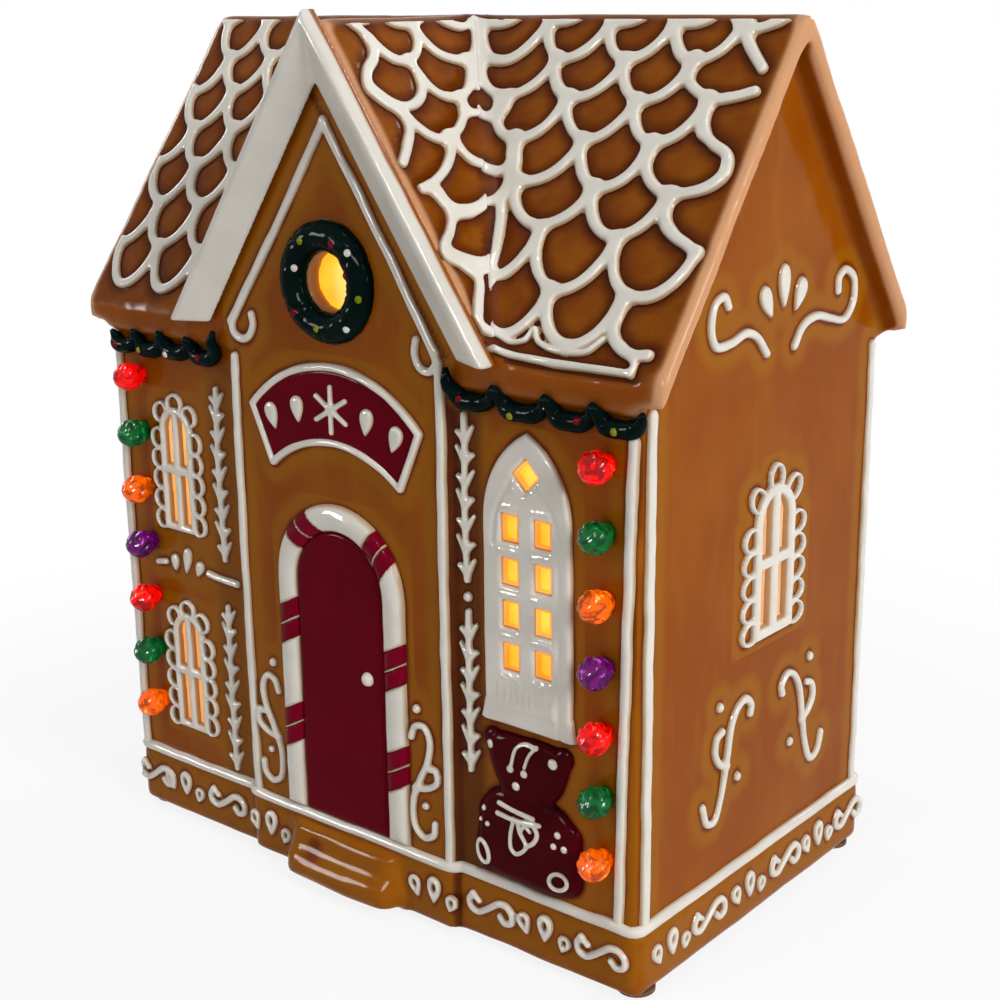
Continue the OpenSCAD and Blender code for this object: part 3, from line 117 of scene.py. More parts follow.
def lattice_noise(x, y, size, seed):
    """Smooth noise from -1 to 1 whose lumps are about size wide."""
    rng = np.random.default_rng(seed)
    count = 64
    table = rng.uniform(-1, 1, (count, count))
    a, b = np.asarray(x) / size, np.asarray(y) / size
    i, j = np.floor(a).astype(int), np.floor(b).astype(int)
    s, t = a - i, b - j
    s, t = s * s * (3 - 2 * s), t * t * (3 - 2 * t)
    c = [[table[(i + p) % count, (j + q) % count] for q in (0, 1)] for p in (0, 1)]
    return (c[0][0] * (1 - s) + c[1][0] * s) * (1 - t) + (c[0][1] * (1 - s) + c[1][1] * s) * t


def bent(points):
    """A smooth line through a few points."""
    steps = 8
    p = np.asarray(points, float)
    if len(p) < 3:
        return p
    length = np.linalg.norm(np.diff(p, axis=0), axis=1)
    way = np.zeros_like(p)
    way[1:-1] = (p[2:] - p[:-2]) / (length[1:] + length[:-1])[:, None]
    way[0] = (p[1] - p[0]) / length[0]
    way[-1] = (p[-1] - p[-2]) / length[-1]
    out = []
    for k in range(len(p) - 1):
        t = np.arange(steps)[:, None] / steps
        out.append(p[k] * (1 + t * t * (2 * t - 3)) + p[k + 1] * t * t * (3 - 2 * t)
                   + length[k] * t * (1 - t) * (way[k] * (1 - t) - way[k + 1] * t))
    return np.concatenate(out + [p[-1:]])


def line_distance(x, y, points):
    best = np.full(x.shape, 1e9)
    along = np.zeros(x.shape)
    total = len(points) - 1
    for k, (a, b) in enumerate(zip(points[:-1], points[1:])):
        d = b - a
        t = np.clip(((x - a[0]) * d[0] + (y - a[1]) * d[1]) / max(d @ d, 1e-9), 0, 1)
        q = np.hypot(x - a[0] - t * d[0], y - a[1] - t * d[1])
        closer = q < best
        best = np.where(closer, q, best)
        along = np.where(closer, (k + t) / total, along)
    return best, along


def shape_distance(x, y, points):
    p = np.asarray(points, float)
    best, _ = line_distance(x, y, np.concatenate([p, p[:1]]))
    inside = np.zeros(x.shape, bool)
    for a, b in zip(p, np.roll(p, -1, axis=0)):
        if a[1] != b[1]:
            hit = ((a[1] > y) != (b[1] > y)) & (x < (b[0] - a[0]) * (y - a[1]) / (b[1] - a[1]) + a[0])
            inside ^= hit
    return np.where(inside, -best, best)

# Distance kept where nothing is drawn, and how far round a shape its distance is worked out
FAR, REACH, CUT_REACH = 14.0, 8, 3


class Canvas:
    """A drawing on a panel, kept as the distance to the piped shapes, negative inside them."""

    def __init__(self, u0, u1, v0, v1, step, seed, warp=0.22):
        self.u0, self.v0, self.step, self.seed = u0, v0, step, seed
        nu, nv = int((u1 - u0) / step) + 2, int((v1 - v0) / step) + 2
        self.U, self.V = np.meshgrid(u0 + step * np.arange(nu), v0 + step * np.arange(nv))
        self.X = self.U + warp * lattice_noise(self.U, self.V, 9, seed)
        self.Y = self.V + warp * lattice_noise(self.U, self.V, 9, seed + 1)
        self.d = np.full(self.U.shape, FAR)
        self.r = np.ones(self.U.shape)

    def window(self, points, pad):
        lo, hi = np.min(points, axis=0) - pad, np.max(points, axis=0) + pad
        j0, i0 = (int(max(0, (lo[k] - (self.u0, self.v0)[k]) / self.step)) for k in (0, 1))
        j1, i1 = (int(max(0, (hi[k] - (self.u0, self.v0)[k]) / self.step + 2)) for k in (0, 1))
        return slice(i0, i1), slice(j0, j1)

    def merge(self, at, d, r, blend):
        old = self.d[at]
        h = np.clip(0.5 + 0.5 * (old - d) / blend, 0, 1)
        self.r[at] = self.r[at] * (1 - h) + r * h
        self.d[at] = old * (1 - h) + d * h - blend * h * (1 - h)

    def stroke(self, points, w, blend=1.0, smooth=True, wave=0.08):
        """A piped line whose width wanders by wave."""
        p = bent(points) if smooth else np.asarray(points, float)
        at = self.window(p, REACH)
        if self.d[at].size == 0:
            return
        d, along = line_distance(self.X[at], self.Y[at], p)
        length = np.linalg.norm(np.diff(p, axis=0), axis=1).sum()
        r = w / 2 * (1 + wave * lattice_noise(along * length, along * 0 + p[0][0], 5, self.seed + 7))
        self.merge(at, d - r, r, blend)

    def ring(self, points, w, blend=1.0):
        """A closed piped line."""
        self.stroke(np.concatenate([points, points[:1]]), w, blend, smooth=False)

    def fill(self, points, r, blend=0.4):
        at = self.window(points, REACH)
        if self.d[at].size:
            self.merge(at, shape_distance(self.X[at], self.Y[at], points), r, blend)

    def cut(self, points):
        at = self.window(points, CUT_REACH)
        if self.d[at].size:
            self.d[at] = np.maximum(self.d[at], -shape_distance(self.X[at], self.Y[at], points))

    def carve(self, *shapes):
        """Cuts away what lies inside all of the given outlines."""
        hole = shape_distance(self.X, self.Y, shapes[0])
        for points in shapes[1:]:
            hole = np.maximum(hole, shape_distance(self.X, self.Y, points))
        self.d = np.maximum(self.d, -hole)

    def dot(self, x, y, w):
        self.fill(oval(x, y, w / 2, w / 2), w / 2)

    def clip(self, points):
        self.d = np.maximum(self.d, shape_distance(self.U, self.V, points))

    def bead(self, t, shoulder=9.0):
        """Height of the piping: round, or flat on top with rounded shoulders."""
        q = np.clip(-self.d / np.clip(self.r, 0.2, shoulder), 0, 1)
        lumps = 1 + 0.08 * lattice_noise(self.U, self.V, 4, self.seed + 3)
        return t * np.sqrt(1 - (1 - q) ** 2) * lumps

    def holds(self, u, v):
        """Which points lie on the drawing's sheet."""
        return (u > self.U[0, 0]) & (u < self.U[0, -1]) & (v > self.V[0, 0]) & (v < self.V[-1, 0])

    def cell(self, u, v):
        j = np.clip(((u - self.u0) / self.step).round().astype(int), 0, self.d.shape[1] - 1)
        i = np.clip(((v - self.v0) / self.step).round().astype(int), 0, self.d.shape[0] - 1)
        return i, j


# Small outlines

def circle(count):
    return np.linspace(0, 2 * math.pi, count, endpoint=False)


def turned(p, turn, x, y):
    """Points turned by some degrees and moved to x, y."""
    c, s = math.cos(math.radians(turn)), math.sin(math.radians(turn))
    return p @ np.array([[c, s], [-s, c]]) + [x, y]


def oval(x, y, a, b, turn=0.0, count=28):
    t = circle(count)
    return turned(np.stack([a * np.cos(t), b * np.sin(t)], -1), turn, x, y)


def drop(x, y, w, h, turn=0.0):
    """A teardrop that stands on its point at x, y."""
    t = circle(28)
    p = np.stack([w * 0.65 * np.sin(t) * np.sin(t / 2), h / 2 * (1 - np.cos(t))], -1)
    return turned(p, turn, x, y)


def box(x0, x1, z0, z1):
    return np.array([[x0, z0], [x1, z0], [x1, z1], [x0, z1]], float)


def arch(x, z, w, spring, top):
    rise = top - spring
    r = w / 4 + rise * rise / w
    sweep = math.asin(min(1, rise / r))
    t = np.linspace(0, sweep, 20)
    side = np.stack([w / 2 - r + r * np.cos(t), spring + r * np.sin(t)], -1)
    back = side[-2::-1] * [-1, 1]
    return np.concatenate([[[-w / 2, 0], [w / 2, 0]], side, back]) + [x, z]


# Meshes

class Build:
    """Gathers the parts of one piece."""

    def __init__(self):
        self.points, self.faces, self.rim, self.count = [], [], [], 0

    def add(self, points, faces, rim=None):
        points = np.asarray(points, float).reshape(-1, 3)
        self.points.append(points)
        self.faces.append(np.asarray(faces) + self.count)
        self.rim.append(np.ones(len(points)) if rim is None else np.asarray(rim, float).ravel())
        self.count += len(points)

    def relief(self, canvas, panel, height, base=0.0, skirt=0.5, d=None):
        """Raises the drawing out of the panel, with its edge on the drawn outline."""
        d = canvas.d if d is None else d
        inside = d < 0
        cell = inside[:-1, :-1] | inside[1:, :-1] | inside[:-1, 1:] | inside[1:, 1:]
        if not cell.any():
            return
        used = np.zeros(d.shape, bool)
        for i in (0, 1):
            for j in (0, 1):
                used[i:i + cell.shape[0], j:j + cell.shape[1]] |= cell
        gv, gu = np.gradient(d, canvas.step)
        length = np.maximum(np.hypot(gu, gv), 0.3)
        out = np.clip(np.where(inside, 0, d), 0, canvas.step * 1.5)
        u = canvas.U - gu / length * out
        v = canvas.V - gv / length * out
        low = np.broadcast_to(np.asarray(base, float), d.shape)
        h = low + np.where(inside, height, 0)
        number = -np.ones(d.shape, int)
        number[used] = np.arange(used.sum())
        total = int(used.sum())
        top = panel.point(u[used], v[used], h[used])
        foot = panel.point(u[used], v[used], low[used] - skirt)
        i, j = np.nonzero(cell)
        quad = np.stack([number[i, j], number[i, j + 1], number[i + 1, j + 1], number[i + 1, j]], -1)
        padded = np.pad(cell, 1)
        walls = []
        for di, dj, a, b in ((-1, 0, 0, 1), (0, 1, 1, 2), (1, 0, 2, 3), (0, -1, 3, 0)):
            free = ~padded[i + 1 + di, j + 1 + dj]
            e = quad[free]
            walls.append(np.stack([e[:, b], e[:, a], e[:, a] + total, e[:, b] + total], -1))
        faces = np.concatenate([quad, quad[:, ::-1] + total] + walls)
        if panel.flip:
            faces = faces[:, ::-1]
        rim = np.clip(-d / np.maximum(canvas.r, 0.2), 0, 1)[used]
        self.add(np.concatenate([top, foot]), faces, np.concatenate([rim, rim * 0]))

    def sweep(self, rings, closed=True):
        """Joins rings of points into a tube, closed on itself or with a cap at each end."""
        rings = np.asarray(rings, float)
        n, m = rings.shape[:2]
        i, j = np.meshgrid(np.arange(n if closed else n - 1), np.arange(m), indexing="ij")
        a, b = i * m + j, i * m + (j + 1) % m
        c, d = (i + 1) % n * m + (j + 1) % m, (i + 1) % n * m + j
        self.add(rings.reshape(-1, 3), np.stack([a, b, c, d], -1).reshape(-1, 4))
        if not closed:
            start = self.count - n * m
            self.faces.append(np.arange(start + m - 1, start - 1, -1)[None])
            self.faces.append(np.arange(start + (n - 1) * m, start + n * m)[None])

    def piece(self, name, key, node=None, smooth=True):
        faces = [f for group in self.faces for f in group.tolist()]
        mesh = bpy.data.meshes.new(name)
        mesh.from_pydata(to_row(np.concatenate(self.points)).tolist(), [], faces)
        set_layer(mesh, "rim", np.concatenate(self.rim))
        dress(name, mesh, key, node, smooth)


def points_of(mesh):
    p = np.zeros(len(mesh.vertices) * 3)
    mesh.vertices.foreach_get("co", p)
    return p.reshape(-1, 3)


def set_layer(mesh, name, values):
    layer = mesh.attributes.new(name, "FLOAT", "POINT")
    layer.data.foreach_set("value", np.asarray(values, np.float32))


def dress(name, mesh, key, node, smooth=True):
    """Makes a mesh a piece of the house, kept inside the CAD box, in place of a CAD node if one is named."""
    mesh.validate()
    mesh.vertices.foreach_set("co", np.clip(points_of(mesh), list(cad_lo), list(cad_hi)).ravel())
    mesh.polygons.foreach_set("use_smooth", [smooth] * len(mesh.polygons))
    mesh.update()
    obj = bpy.data.objects.new(name, mesh)
    bpy.context.scene.collection.objects.link(obj)
    mesh.materials.append(M[key])
    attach(obj, "house")
    if node:
        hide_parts(node)


# Materials

def srgb(r, g, b):
    return tuple((c / 255 / 12.92) if c <= 10.3 else ((c / 255 + 0.055) / 1.055) ** 2.4
                 for c in (r, g, b))


def paint(colour):
    """What a colour input takes: a socket, or three numbers with full alpha."""
    return colour if isinstance(colour, bpy.types.NodeSocket) else (*colour, 1)


class Tree:
    """The nodes of a material or of the world."""

    def __init__(self, name, store=None):
        self.owner = (bpy.data.materials if store is None else store).new(name)
        self.owner.use_nodes = True
        self.nodes, self.links = self.owner.node_tree.nodes, self.owner.node_tree.links
        self.nodes.clear()

    def node(self, kind, settings=None, **inputs):
        n = self.nodes.new(kind)
        for k, v in (settings or {}).items():
            setattr(n, k, v)
        for k, v in inputs.items():
            self.put(n, int(k[1:]) if k[0] == "_" and k[1:].isdigit() else k.replace("_", " "), v)
        return n

    def put(self, n, key, value):
        if isinstance(value, bpy.types.NodeSocket):
            self.links.new(value, n.inputs[key])
        else:
            n.inputs[key].default_value = value

    def place(self):
        return self.node("ShaderNodeNewGeometry").outputs["Position"]

    def noise(self, scale, detail, rough, stretch=None, distort=0.0):
        at = self.place()
        if stretch:
            at = self.node("ShaderNodeMapping", Vector=at, Scale=stretch).outputs[0]
        return self.node("ShaderNodeTexNoise", Vector=at, Scale=scale, Detail=detail, Roughness=rough,
                         Distortion=distort).outputs["Fac"]

    def value(self, name):
        return self.node("ShaderNodeAttribute", {"attribute_name": name}).outputs["Fac"]

    def steps(self, fac, lo, hi, a=0.0, b=1.0):
        n = self.node("ShaderNodeMapRange", {"interpolation_type": "SMOOTHSTEP"})
        for k, v in zip(("Value", "From Min", "From Max", "To Min", "To Max"), (fac, lo, hi, a, b)):
            self.put(n, k, v)
        return n.outputs["Result"]

    def math(self, operation, a, b):
        return self.node("ShaderNodeMath", {"operation": operation}, _0=a, _1=b).outputs[0]

    def mix(self, fac, a, b):
        n = self.node("ShaderNodeMix", {"data_type": "RGBA"}, _0=fac, _6=paint(a), _7=paint(b))
        return n.outputs[2]

    def clouded(self, noise, base, light, lo=0.3, hi=0.72):
        """Two tones, given as sRGB numbers, that a noise mixes."""
        return self.mix(self.steps(noise, lo, hi), srgb(*base), srgb(*light))

    def shaders(self, fac, a, b):
        return self.node("ShaderNodeMixShader", Fac=fac, _1=a, _2=b).outputs[0]

    def seen(self):
        """1 for what the eye sees, itself or through a reflection or a clear thing, else 0."""
        path = self.node("ShaderNodeLightPath").outputs
        seen = self.math("ADD", path["Is Camera Ray"], path["Is Glossy Ray"])
        return self.math("MINIMUM", self.math("ADD", seen, path["Is Transmission Ray"]), 1.0)

    def bump(self, height, strength, distance):
        return self.node("ShaderNodeBump", Height=height, Strength=strength,
                         Distance=distance).outputs[0]

    def finish(self, colour, rough, normal=None, **more):
        n = self.node("ShaderNodeBsdfPrincipled", Base_Color=paint(colour), Roughness=rough)
        if normal is not None:
            self.put(n, "Normal", normal)
        for k, v in more.items():
            self.put(n, k.replace("_", " "), v)
        return self.output(n.outputs[0])

    def output(self, surface, kind="Material"):
        self.node("ShaderNodeOutput" + kind, Surface=surface)
        return self.owner


def gloss(level):
    """The reflection of a glaze, kept low so that dark glazes don't turn hazy."""
    return {"IOR": 1.4, "Specular IOR Level": level}


def thick_brown(t, cloud):
    """The brown of the walls: clouded, with faint vertical streaks."""
    streaks = t.noise(120, 4, 0.6, (1.0, 1.0, 0.22), 0.4)
    walls = t.clouded(cloud, (142, 70, 5), (152, 80, 10), 0.35, 0.7)
    return t.mix(t.math("MULTIPLY", t.steps(streaks, 0.5, 0.78), 0.3), walls, srgb(164, 102, 20))


def brown_glaze():
    """Brown glaze: golden near the piping, dark against it, painted shade where the shade layer says, and
    pale on edges from thin glaze and a painted highlight.
    """
    t = Tree("gingerbread_glaze")
    pool, thin_glaze_and_highlight, roof, shade = (t.value(name) for name in ("pool", "edge", "tile", "shade"))
    cloud = t.noise(28, 3, 0.55)
    walls = thick_brown(t, cloud)
    wander = t.math("ADD", pool, t.math("MULTIPLY", t.math("SUBTRACT", cloud, 0.5), 1.8))
    halo = t.math("MULTIPLY", t.steps(wander, 0.5, 1.5), t.steps(wander, 6.5, 3.0))
    walls = t.mix(t.math("MULTIPLY", halo, 0.7), walls, srgb(156, 96, 8))
    tiles = t.clouded(t.noise(60, 3, 0.6), (118, 56, 3), (140, 76, 8), hi=0.7)
    tiles = t.mix(t.steps(wander, 0.3, 4.0), srgb(92, 38, 2), tiles)
    body = t.mix(roof, walls, tiles)
    # Dark beside the piping, then painted shade, then the pale edge: thin glaze and a painted highlight.
    for weight, tone in ((t.math("MULTIPLY", t.steps(wander, 0.9, 0.0), 0.6), (58, 18, 4)),
                         (t.math("MULTIPLY", shade, 0.85), (66, 20, 8)),
                         (t.math("MULTIPLY", t.steps(thin_glaze_and_highlight, 0.2, 0.8), 0.75), (222, 168, 124))):
        body = t.mix(weight, body, srgb(*tone))
    rough = t.steps(t.value("valley"), 0.0, 1.0, 0.1, 0.4)
    return t.finish(body, rough, t.bump(t.noise(150, 2, 0.4), 0.2, 0.0006), **gloss(0.07))


def white_glaze(name, tone):
    """Icing: brownish at its rims, and brown glaze where the brown layer says so."""
    t = Tree(name)
    colour = t.clouded(t.noise(90, 3, 0.5), tone, [c * 0.965 for c in tone], hi=0.75)
    colour = t.mix(t.steps(t.value("rim"), 0.0, 0.3), srgb(188, 160, 126), colour)
    colour = t.mix(t.value("brown"), colour, thick_brown(t, t.noise(28, 3, 0.55)))
    return t.finish(colour, 0.06, t.bump(t.noise(220, 2, 0.5), 0.14, 0.0005), **gloss(0.3))


def dark_glaze(name, base, light):
    t = Tree(name)
    colour = t.clouded(t.noise(80, 4, 0.55), base, light)
    return t.finish(colour, 0.07, t.bump(t.noise(200, 2, 0.4), 0.12, 0.0005), **gloss(0.03))


def plastic(name, base, light, rough, scale=300, bump=0.08, **more):
    t = Tree(name)
    colour = t.clouded(t.noise(scale, 3, 0.6), base, light, hi=0.7)
    return t.finish(colour, rough, t.bump(t.noise(scale * 6, 3, 0.6), bump, 0.0002), **more)


def glowing_film(name, low, high, strength=0.9):
    """Amber sheet lit from behind by the lamps of the module."""
    t = Tree(name)
    colour = t.clouded(t.noise(70, 2, 0.5), low, high)
    base = t.mix(0.5, colour, srgb(120, 70, 10))
    return t.finish(base, 0.4, Emission_Color=colour, Emission_Strength=strength)


def bulb_plastic(name, base, light, glow):
    """Clear coloured plastic, with painted bright and deep patches for the light its facets bend, and a
    faint glow.
    """
    t = Tree(name)
    patch = t.noise(240, 2, 0.5, None, 1.6)
    colour = t.clouded(patch, [c * 0.62 for c in base], base, 0.36, 0.56)
    colour = t.mix(t.steps(patch, 0.62, 0.7), colour, srgb(*light))
    return t.finish(colour, 0.06, IOR=1.45, Specular_IOR_Level=0.2, Emission_Color=colour,
                    Emission_Strength=glow)


M = {
    "brown": brown_glaze(),
    "icing": white_glaze("icing_glaze", (228, 223, 212)),
    "maroon": dark_glaze("maroon_glaze", (100, 0, 16), (108, 0, 22)),
    "stripe": dark_glaze("stripe_glaze", (116, 0, 28), (126, 2, 36)),
    "pine": dark_glaze("pine_glaze", (2, 16, 14), (6, 26, 23)),
    "bear": dark_glaze("bear_glaze", (64, 2, 9), (76, 5, 14)),
    "olive": dark_glaze("olive_glaze", (120, 130, 20), (150, 150, 40)),
    "berry": dark_glaze("berry_glaze", (110, 8, 20), (140, 14, 30)),
    # The bargeboards' icing is a darker copy of the icing: painted shade for the dimmer front.
    "boards": white_glaze("board_icing_shaded_glaze", (220, 215, 204)),
    "film": glowing_film("window_film", (255, 176, 24), (255, 208, 60)),
    "small_film": glowing_film("small_window_film", (242, 180, 90), (255, 222, 134)),
    "small_film_rim": glowing_film("small_film_rim", (232, 160, 80), (244, 186, 110), 0.75),
    "film_rim": glowing_film("film_rim", (236, 140, 40), (250, 172, 80), 0.85),
    "side_film": glowing_film("side_window_film", (250, 176, 84), (252, 200, 122)),
    "side_film_rim": glowing_film("side_film_rim", (226, 180, 130), (236, 200, 160), 0.55),
    "bulb_red": bulb_plastic("bulb_red", (232, 6, 4), (255, 84, 52), 0.4),
    "bulb_green": bulb_plastic("bulb_green", (0, 92, 36), (40, 150, 80), 0.25),
    "bulb_orange": bulb_plastic("bulb_orange", (250, 96, 2), (255, 176, 70), 0.4),
    "bulb_purple": bulb_plastic("bulb_purple", (100, 6, 98), (180, 84, 186), 0.3),
    "ivory": plastic("module_plastic", (222, 214, 196), (230, 222, 206), 0.42),
    "black": plastic("switch_plastic", (26, 26, 28), (36, 36, 38), 0.38),
    "jacket": plastic("cell_jacket", (32, 52, 96), (40, 62, 110), 0.3),
    "metal": plastic("contact_metal", (178, 178, 176), (200, 200, 198), 0.28, Metallic=1.0),
    "board": plastic("board_laminate", (22, 84, 48), (30, 98, 58), 0.4),
    "lens": plastic("lamp_lens", (238, 222, 170), (246, 232, 190), 0.12,
                    Emission_Color=(1.0, 0.78, 0.36, 1.0), Emission_Strength=0.6),
    "lead": plastic("lead_jacket", (150, 20, 16), (176, 28, 22), 0.45),
    "felt": plastic("felt", (98, 66, 44), (122, 84, 58), 0.95, 900, 0.6),
}


# Drawings. Coordinates are millimetres on the faces of the house

WEB, NET_W = 2.1, 3.1
NET_TOP, GABLE_TOP, TUCK = 96.2, 93.9, 3.0


def arc_height(arc, s):
    """Height of a hanging arc where s runs from -1 at its left end to 1 at its right end."""
    hang = 0.96
    _, v0, _, v1, low = arc
    rise = (1 - np.sqrt(1 - s * s * hang)) / (1 - math.sqrt(1 - hang))
    return low + (np.where(s < 0, v0, v1) - low) * rise


def scales(c, arcs, w):
    """Hanging arcs of a fish-scale net: left end, right end, their heights and the bottom's."""
    def hooked(x, v):
        for arc in arcs:
            s = (2 * x - arc[0] - arc[2]) / (arc[2] - arc[0])
            if abs(s) < 0.9 and abs(arc[4] - v) < 6:
                v = min(v, float(arc_height(arc, np.array(s))) - 0.3)
        return v

    arcs = [(x0, hooked(x0, v0), x1, hooked(x1, v1), low) for x0, v0, x1, v1, low in arcs]
    for arc in arcs:
        x0, v0, x1, v1, low = arc
        s = np.linspace(-1, 1, 19)
        c.stroke(np.stack([(x0 + x1) / 2 + (x1 - x0) / 2 * s, arc_height(arc, s)], -1), w, WEB,
                 smooth=False)


def roof_right():
    c = Canvas(-10, 103, -1, 102, 0.5, 11, 0.5)
    arcs = [
        (41.5, 20.5, 61.5, 20, 6.4), (61.5, 20, 83, 20, 6.4),
        (31, 28, 51.5, 35, 21.2), (51.5, 35, 74.5, 35, 20.4), (74.5, 35, 97.5, 33, 20.8),
        (38.5, 48, 61.5, 48, 36.6), (61.5, 48, 84, 48, 36),
        (31, 62, 52.5, 62, 48.6), (52.5, 62, 73.5, 62, 48.2),
        (21, 72, 43, 74, 60.6), (43, 74, 64, 75, 61.6), (64, 75, 84, 74, 61.2),
        (10, 83, 34.5, 86, 72.8), (34.5, 86, 56, 86, 73.2), (56, 86, 76, 86, 73),
        (5, 94, 27, 98, 83.6), (27, 98, 46.5, 98, 84.6), (46.5, 98, 66, 98, 84.4), (66, 98, 86, 97, 84.6),
        (0, 106, 21, 108, 94.6), (21, 108, 41, 108, 95.6), (41, 108, 61, 108, 95), (61, 108, 81, 108, 94.6),
    ]
    scales(c, arcs, NET_W)
    for line in ([(83, 20), (83.6, 12), (87, 8), (91, 6.6), (95, 6.8)],
                 [(84, 48), (85.2, 41), (89, 37), (93.5, 35), (97, 33.4)],
                 [(73.5, 62), (75, 54), (80, 49), (86, 48), (92.5, 50), (96, 54), (95.4, 59), (90, 62.4),
                  (85.4, 66), (84, 72)],
                 [(76, 86), (77, 79), (81, 75), (86, 73.6), (91, 74.4), (96, 76.4)],
                 [(86, 97), (87, 92.5), (90, 88), (95.6, 83)],
                 [(81, 108), (82, 99), (85.5, 94.6), (90, 93.6), (94, 95.4), (97, 97.6)],
                 [(84, 74), (85, 68), (86, 65)],
                 [(15, 67.4), (18, 65.6), (21.5, 66), (24.4, 68.6), (23.6, 73)],
                 [(23, 50.9), (28, 50.5), (31.6, 51), (34.6, 53), (33.4, 57.4), (31.4, 61.6)],
                 [(34.6, 53), (35.8, 47.5), (36, 43), (38.2, 37), (40.2, 30), (41.6, 23.6), (41.5, 20)],
                 [(27, 40.2), (32, 41.2), (35.8, 44.8)],
                 [(41.8, 22), (43.4, 15), (46.4, 9)],
                 [(0, 97), (6.4, 85), (12, 75)]):
        c.stroke(line, NET_W, WEB)
    c.stroke([(50.5, 1.9), (70, 1.5), (92, 2.0)], 1.9, smooth=False)
    c.stroke([(92, 2.0), (92.2, 4.2), (87.5, 8.4)], 1.8)
    c.stroke([(50, 7.2), (55, 5.0), (60, 6.2), (61.5, 9.5), (64, 6.4), (70, 4.6), (78, 5.4), (82, 9.4)], 1.5)
    foot = BAY_X + GABLE_HALF
    c.clip([(foot - TUCK, 0.5), (104, 0.5), (104, NET_TOP),
            (foot - TUCK - GABLE_HALF * NET_TOP / ROOF_RUN, NET_TOP)])
    return c


def roof_left():
    c = Canvas(-103, 5, -1, 102, 0.5, 13, 0.5)
    pitch, row_h, edge = 16.9, 13, -98.5
    rows = [(6.2, -97.5), (19.2, -106), (33.6, -98), (46.2, -106.5), (59.2, -97.5), (71.4, -104.5),
            (83.4, -95.5), (95.6, -104)]
    scales(c, [(start + j * pitch, low + row_h, start + j * pitch + pitch, low + row_h, low + 0.3 * (j % 2))
               for low, start in rows for j in range(6)], NET_W * 0.94)
    foot = BAY_X - GABLE_HALF + TUCK
    c.clip([(edge, 0.5), (foot, 0.5), (foot + GABLE_HALF * NET_TOP / ROOF_RUN, NET_TOP), (edge, NET_TOP)])
    return c


GABLE_LINES = [
    [(-54.5, 97), (-49.6, 93.4), (-46.8, 88.6), (-48.6, 84), (-53.4, 80), (-55.6, 75.4), (-53, 71),
     (-48.4, 67.6), (-49, 62.6), (-52.6, 58.6), (-57, 54.4)],
    [(-46.8, 88.6), (-42, 83.6), (-37, 82.8), (-32, 85), (-28.6, 90), (-28, 96)],
    [(-50.5, 96.5), (-45, 94.6), (-39.6, 97.4)],
    [(-39.6, 97.4), (-35, 94), (-28, 93.4), (-20, 97)],
    [(-28, 90), (-24, 84), (-17, 81.6), (-10, 83), (-5, 88)],
    [(-20, 97), (-14, 93), (-8, 91.6), (0, 94)],
    [(-55, 75), (-50, 70.6), (-44, 69.6), (-38.4, 72), (-35.6, 77), (-36.6, 83)],
    [(-35.6, 77), (-31.6, 72.4), (-26, 71.2), (-20, 73), (-15, 79), (-14.6, 82)],
    [(-48.4, 67.6), (-43.6, 61.4), (-38.6, 59.4), (-31, 61.6), (-25, 67), (-24, 71)],
    [(-34.6, 60), (-33.6, 54.4), (-29.9, 49.8), (-24, 48)],
    [(-25.4, 66.6), (-20.7, 64.8), (-16, 65)],
    [(-3, 94), (-9, 84), (-16.3, 72)],
    [(-55, 47), (-51.4, 47.6), (-44, 51), (-38, 56), (-36.4, 60)],
    [(-52, 46.6), (-49.4, 41.6), (-42, 39.4), (-36, 39.6), (-30, 42)],
    [(-50, 45), (-49, 39.6), (-52.6, 34.6), (-57, 31.2), (-58, 28.4), (-53, 24.6), (-51.6, 20.6),
     (-56.6, 14), (-59, 10), (-57, 6)],
    [(-57, 29.6), (-51, 26.6), (-45, 24.8), (-39.6, 28), (-35.4, 33), (-33.4, 39.6)],
    [(-49, 39), (-42.6, 38.8), (-35, 39.8)],
    [(-53, 24.6), (-47.1, 21.9), (-43, 19)],
]


def gable_slope(seed):
    c = Canvas(-62, 4, -1, 100, 0.5, seed, 0.3)
    for line in GABLE_LINES:
        c.stroke(line, NET_W * 0.92, WEB)
    share = ROOF_Y / GABLE_RUN
    c.clip([(-59.6, 1.5), (TUCK - ROOF_Y + share * 1.5, 1.5), (TUCK - ROOF_Y + share * GABLE_TOP, GABLE_TOP),
            (-59.6, GABLE_TOP)])
    return c


def roof_back():
    """The back doesn't show in the photo, so its net is a regular one that wanders a little."""
    c = Canvas(-103, 103, -1, 102, 0.5, 17, 0.5)
    edge, pitch, row_h, first = 98, 20.6, 12.9, 6.4
    rng = np.random.default_rng(214)
    arcs = []
    for k in range(8):
        x = -edge + ((0.3 + 0.5 * (k % 2)) % 1 - 1) * pitch
        while x < edge:
            a, b = rng.uniform(-0.5, 0.5, 2)
            low = first + k * row_h + rng.uniform(-0.4, 0.4)
            arcs.append((x + a * 0.6, low + row_h + b * 0.5, x + pitch + a * 0.6, low + row_h, low))
            x += pitch
    scales(c, arcs, NET_W)
    c.clip(box(-edge, edge, 2, NET_TOP - 0.4))
    return c


# Icing on the walls

def sprig(c, x, z0, z1, pairs):
    """A stem with leaves on both sides, at the heights in pairs."""
    half = 3.3
    c.stroke([(x, z0), (x - 0.3, (z0 + z1) / 2), (x, z1)], 1.8, wave=0.15)
    for k, z in enumerate(pairs):
        for side in (-1, 1):
            lift = 0.9 * side * (-1) ** k
            c.fill([(x, z - 3.0), (x + side * 1.3, z - 1.4), (x + side * half, z + 1.5 + lift),
                    (x + side * half * 0.8, z + 2.3 + lift), (x + side * 0.9, z + 1.2), (x, z + 1.6)],
                   1.0, 0.7)


def drawn_twice(c, x, lines, w, dots):
    """Strokes and dots, and then the same mirrored about x."""
    for flip in (False, True):
        for line in lines:
            c.stroke([(2 * x - a, b) for a, b in line] if flip else line, w)
        for a, b, size in dots:
            c.dot(2 * x - a if flip else a, b, size)


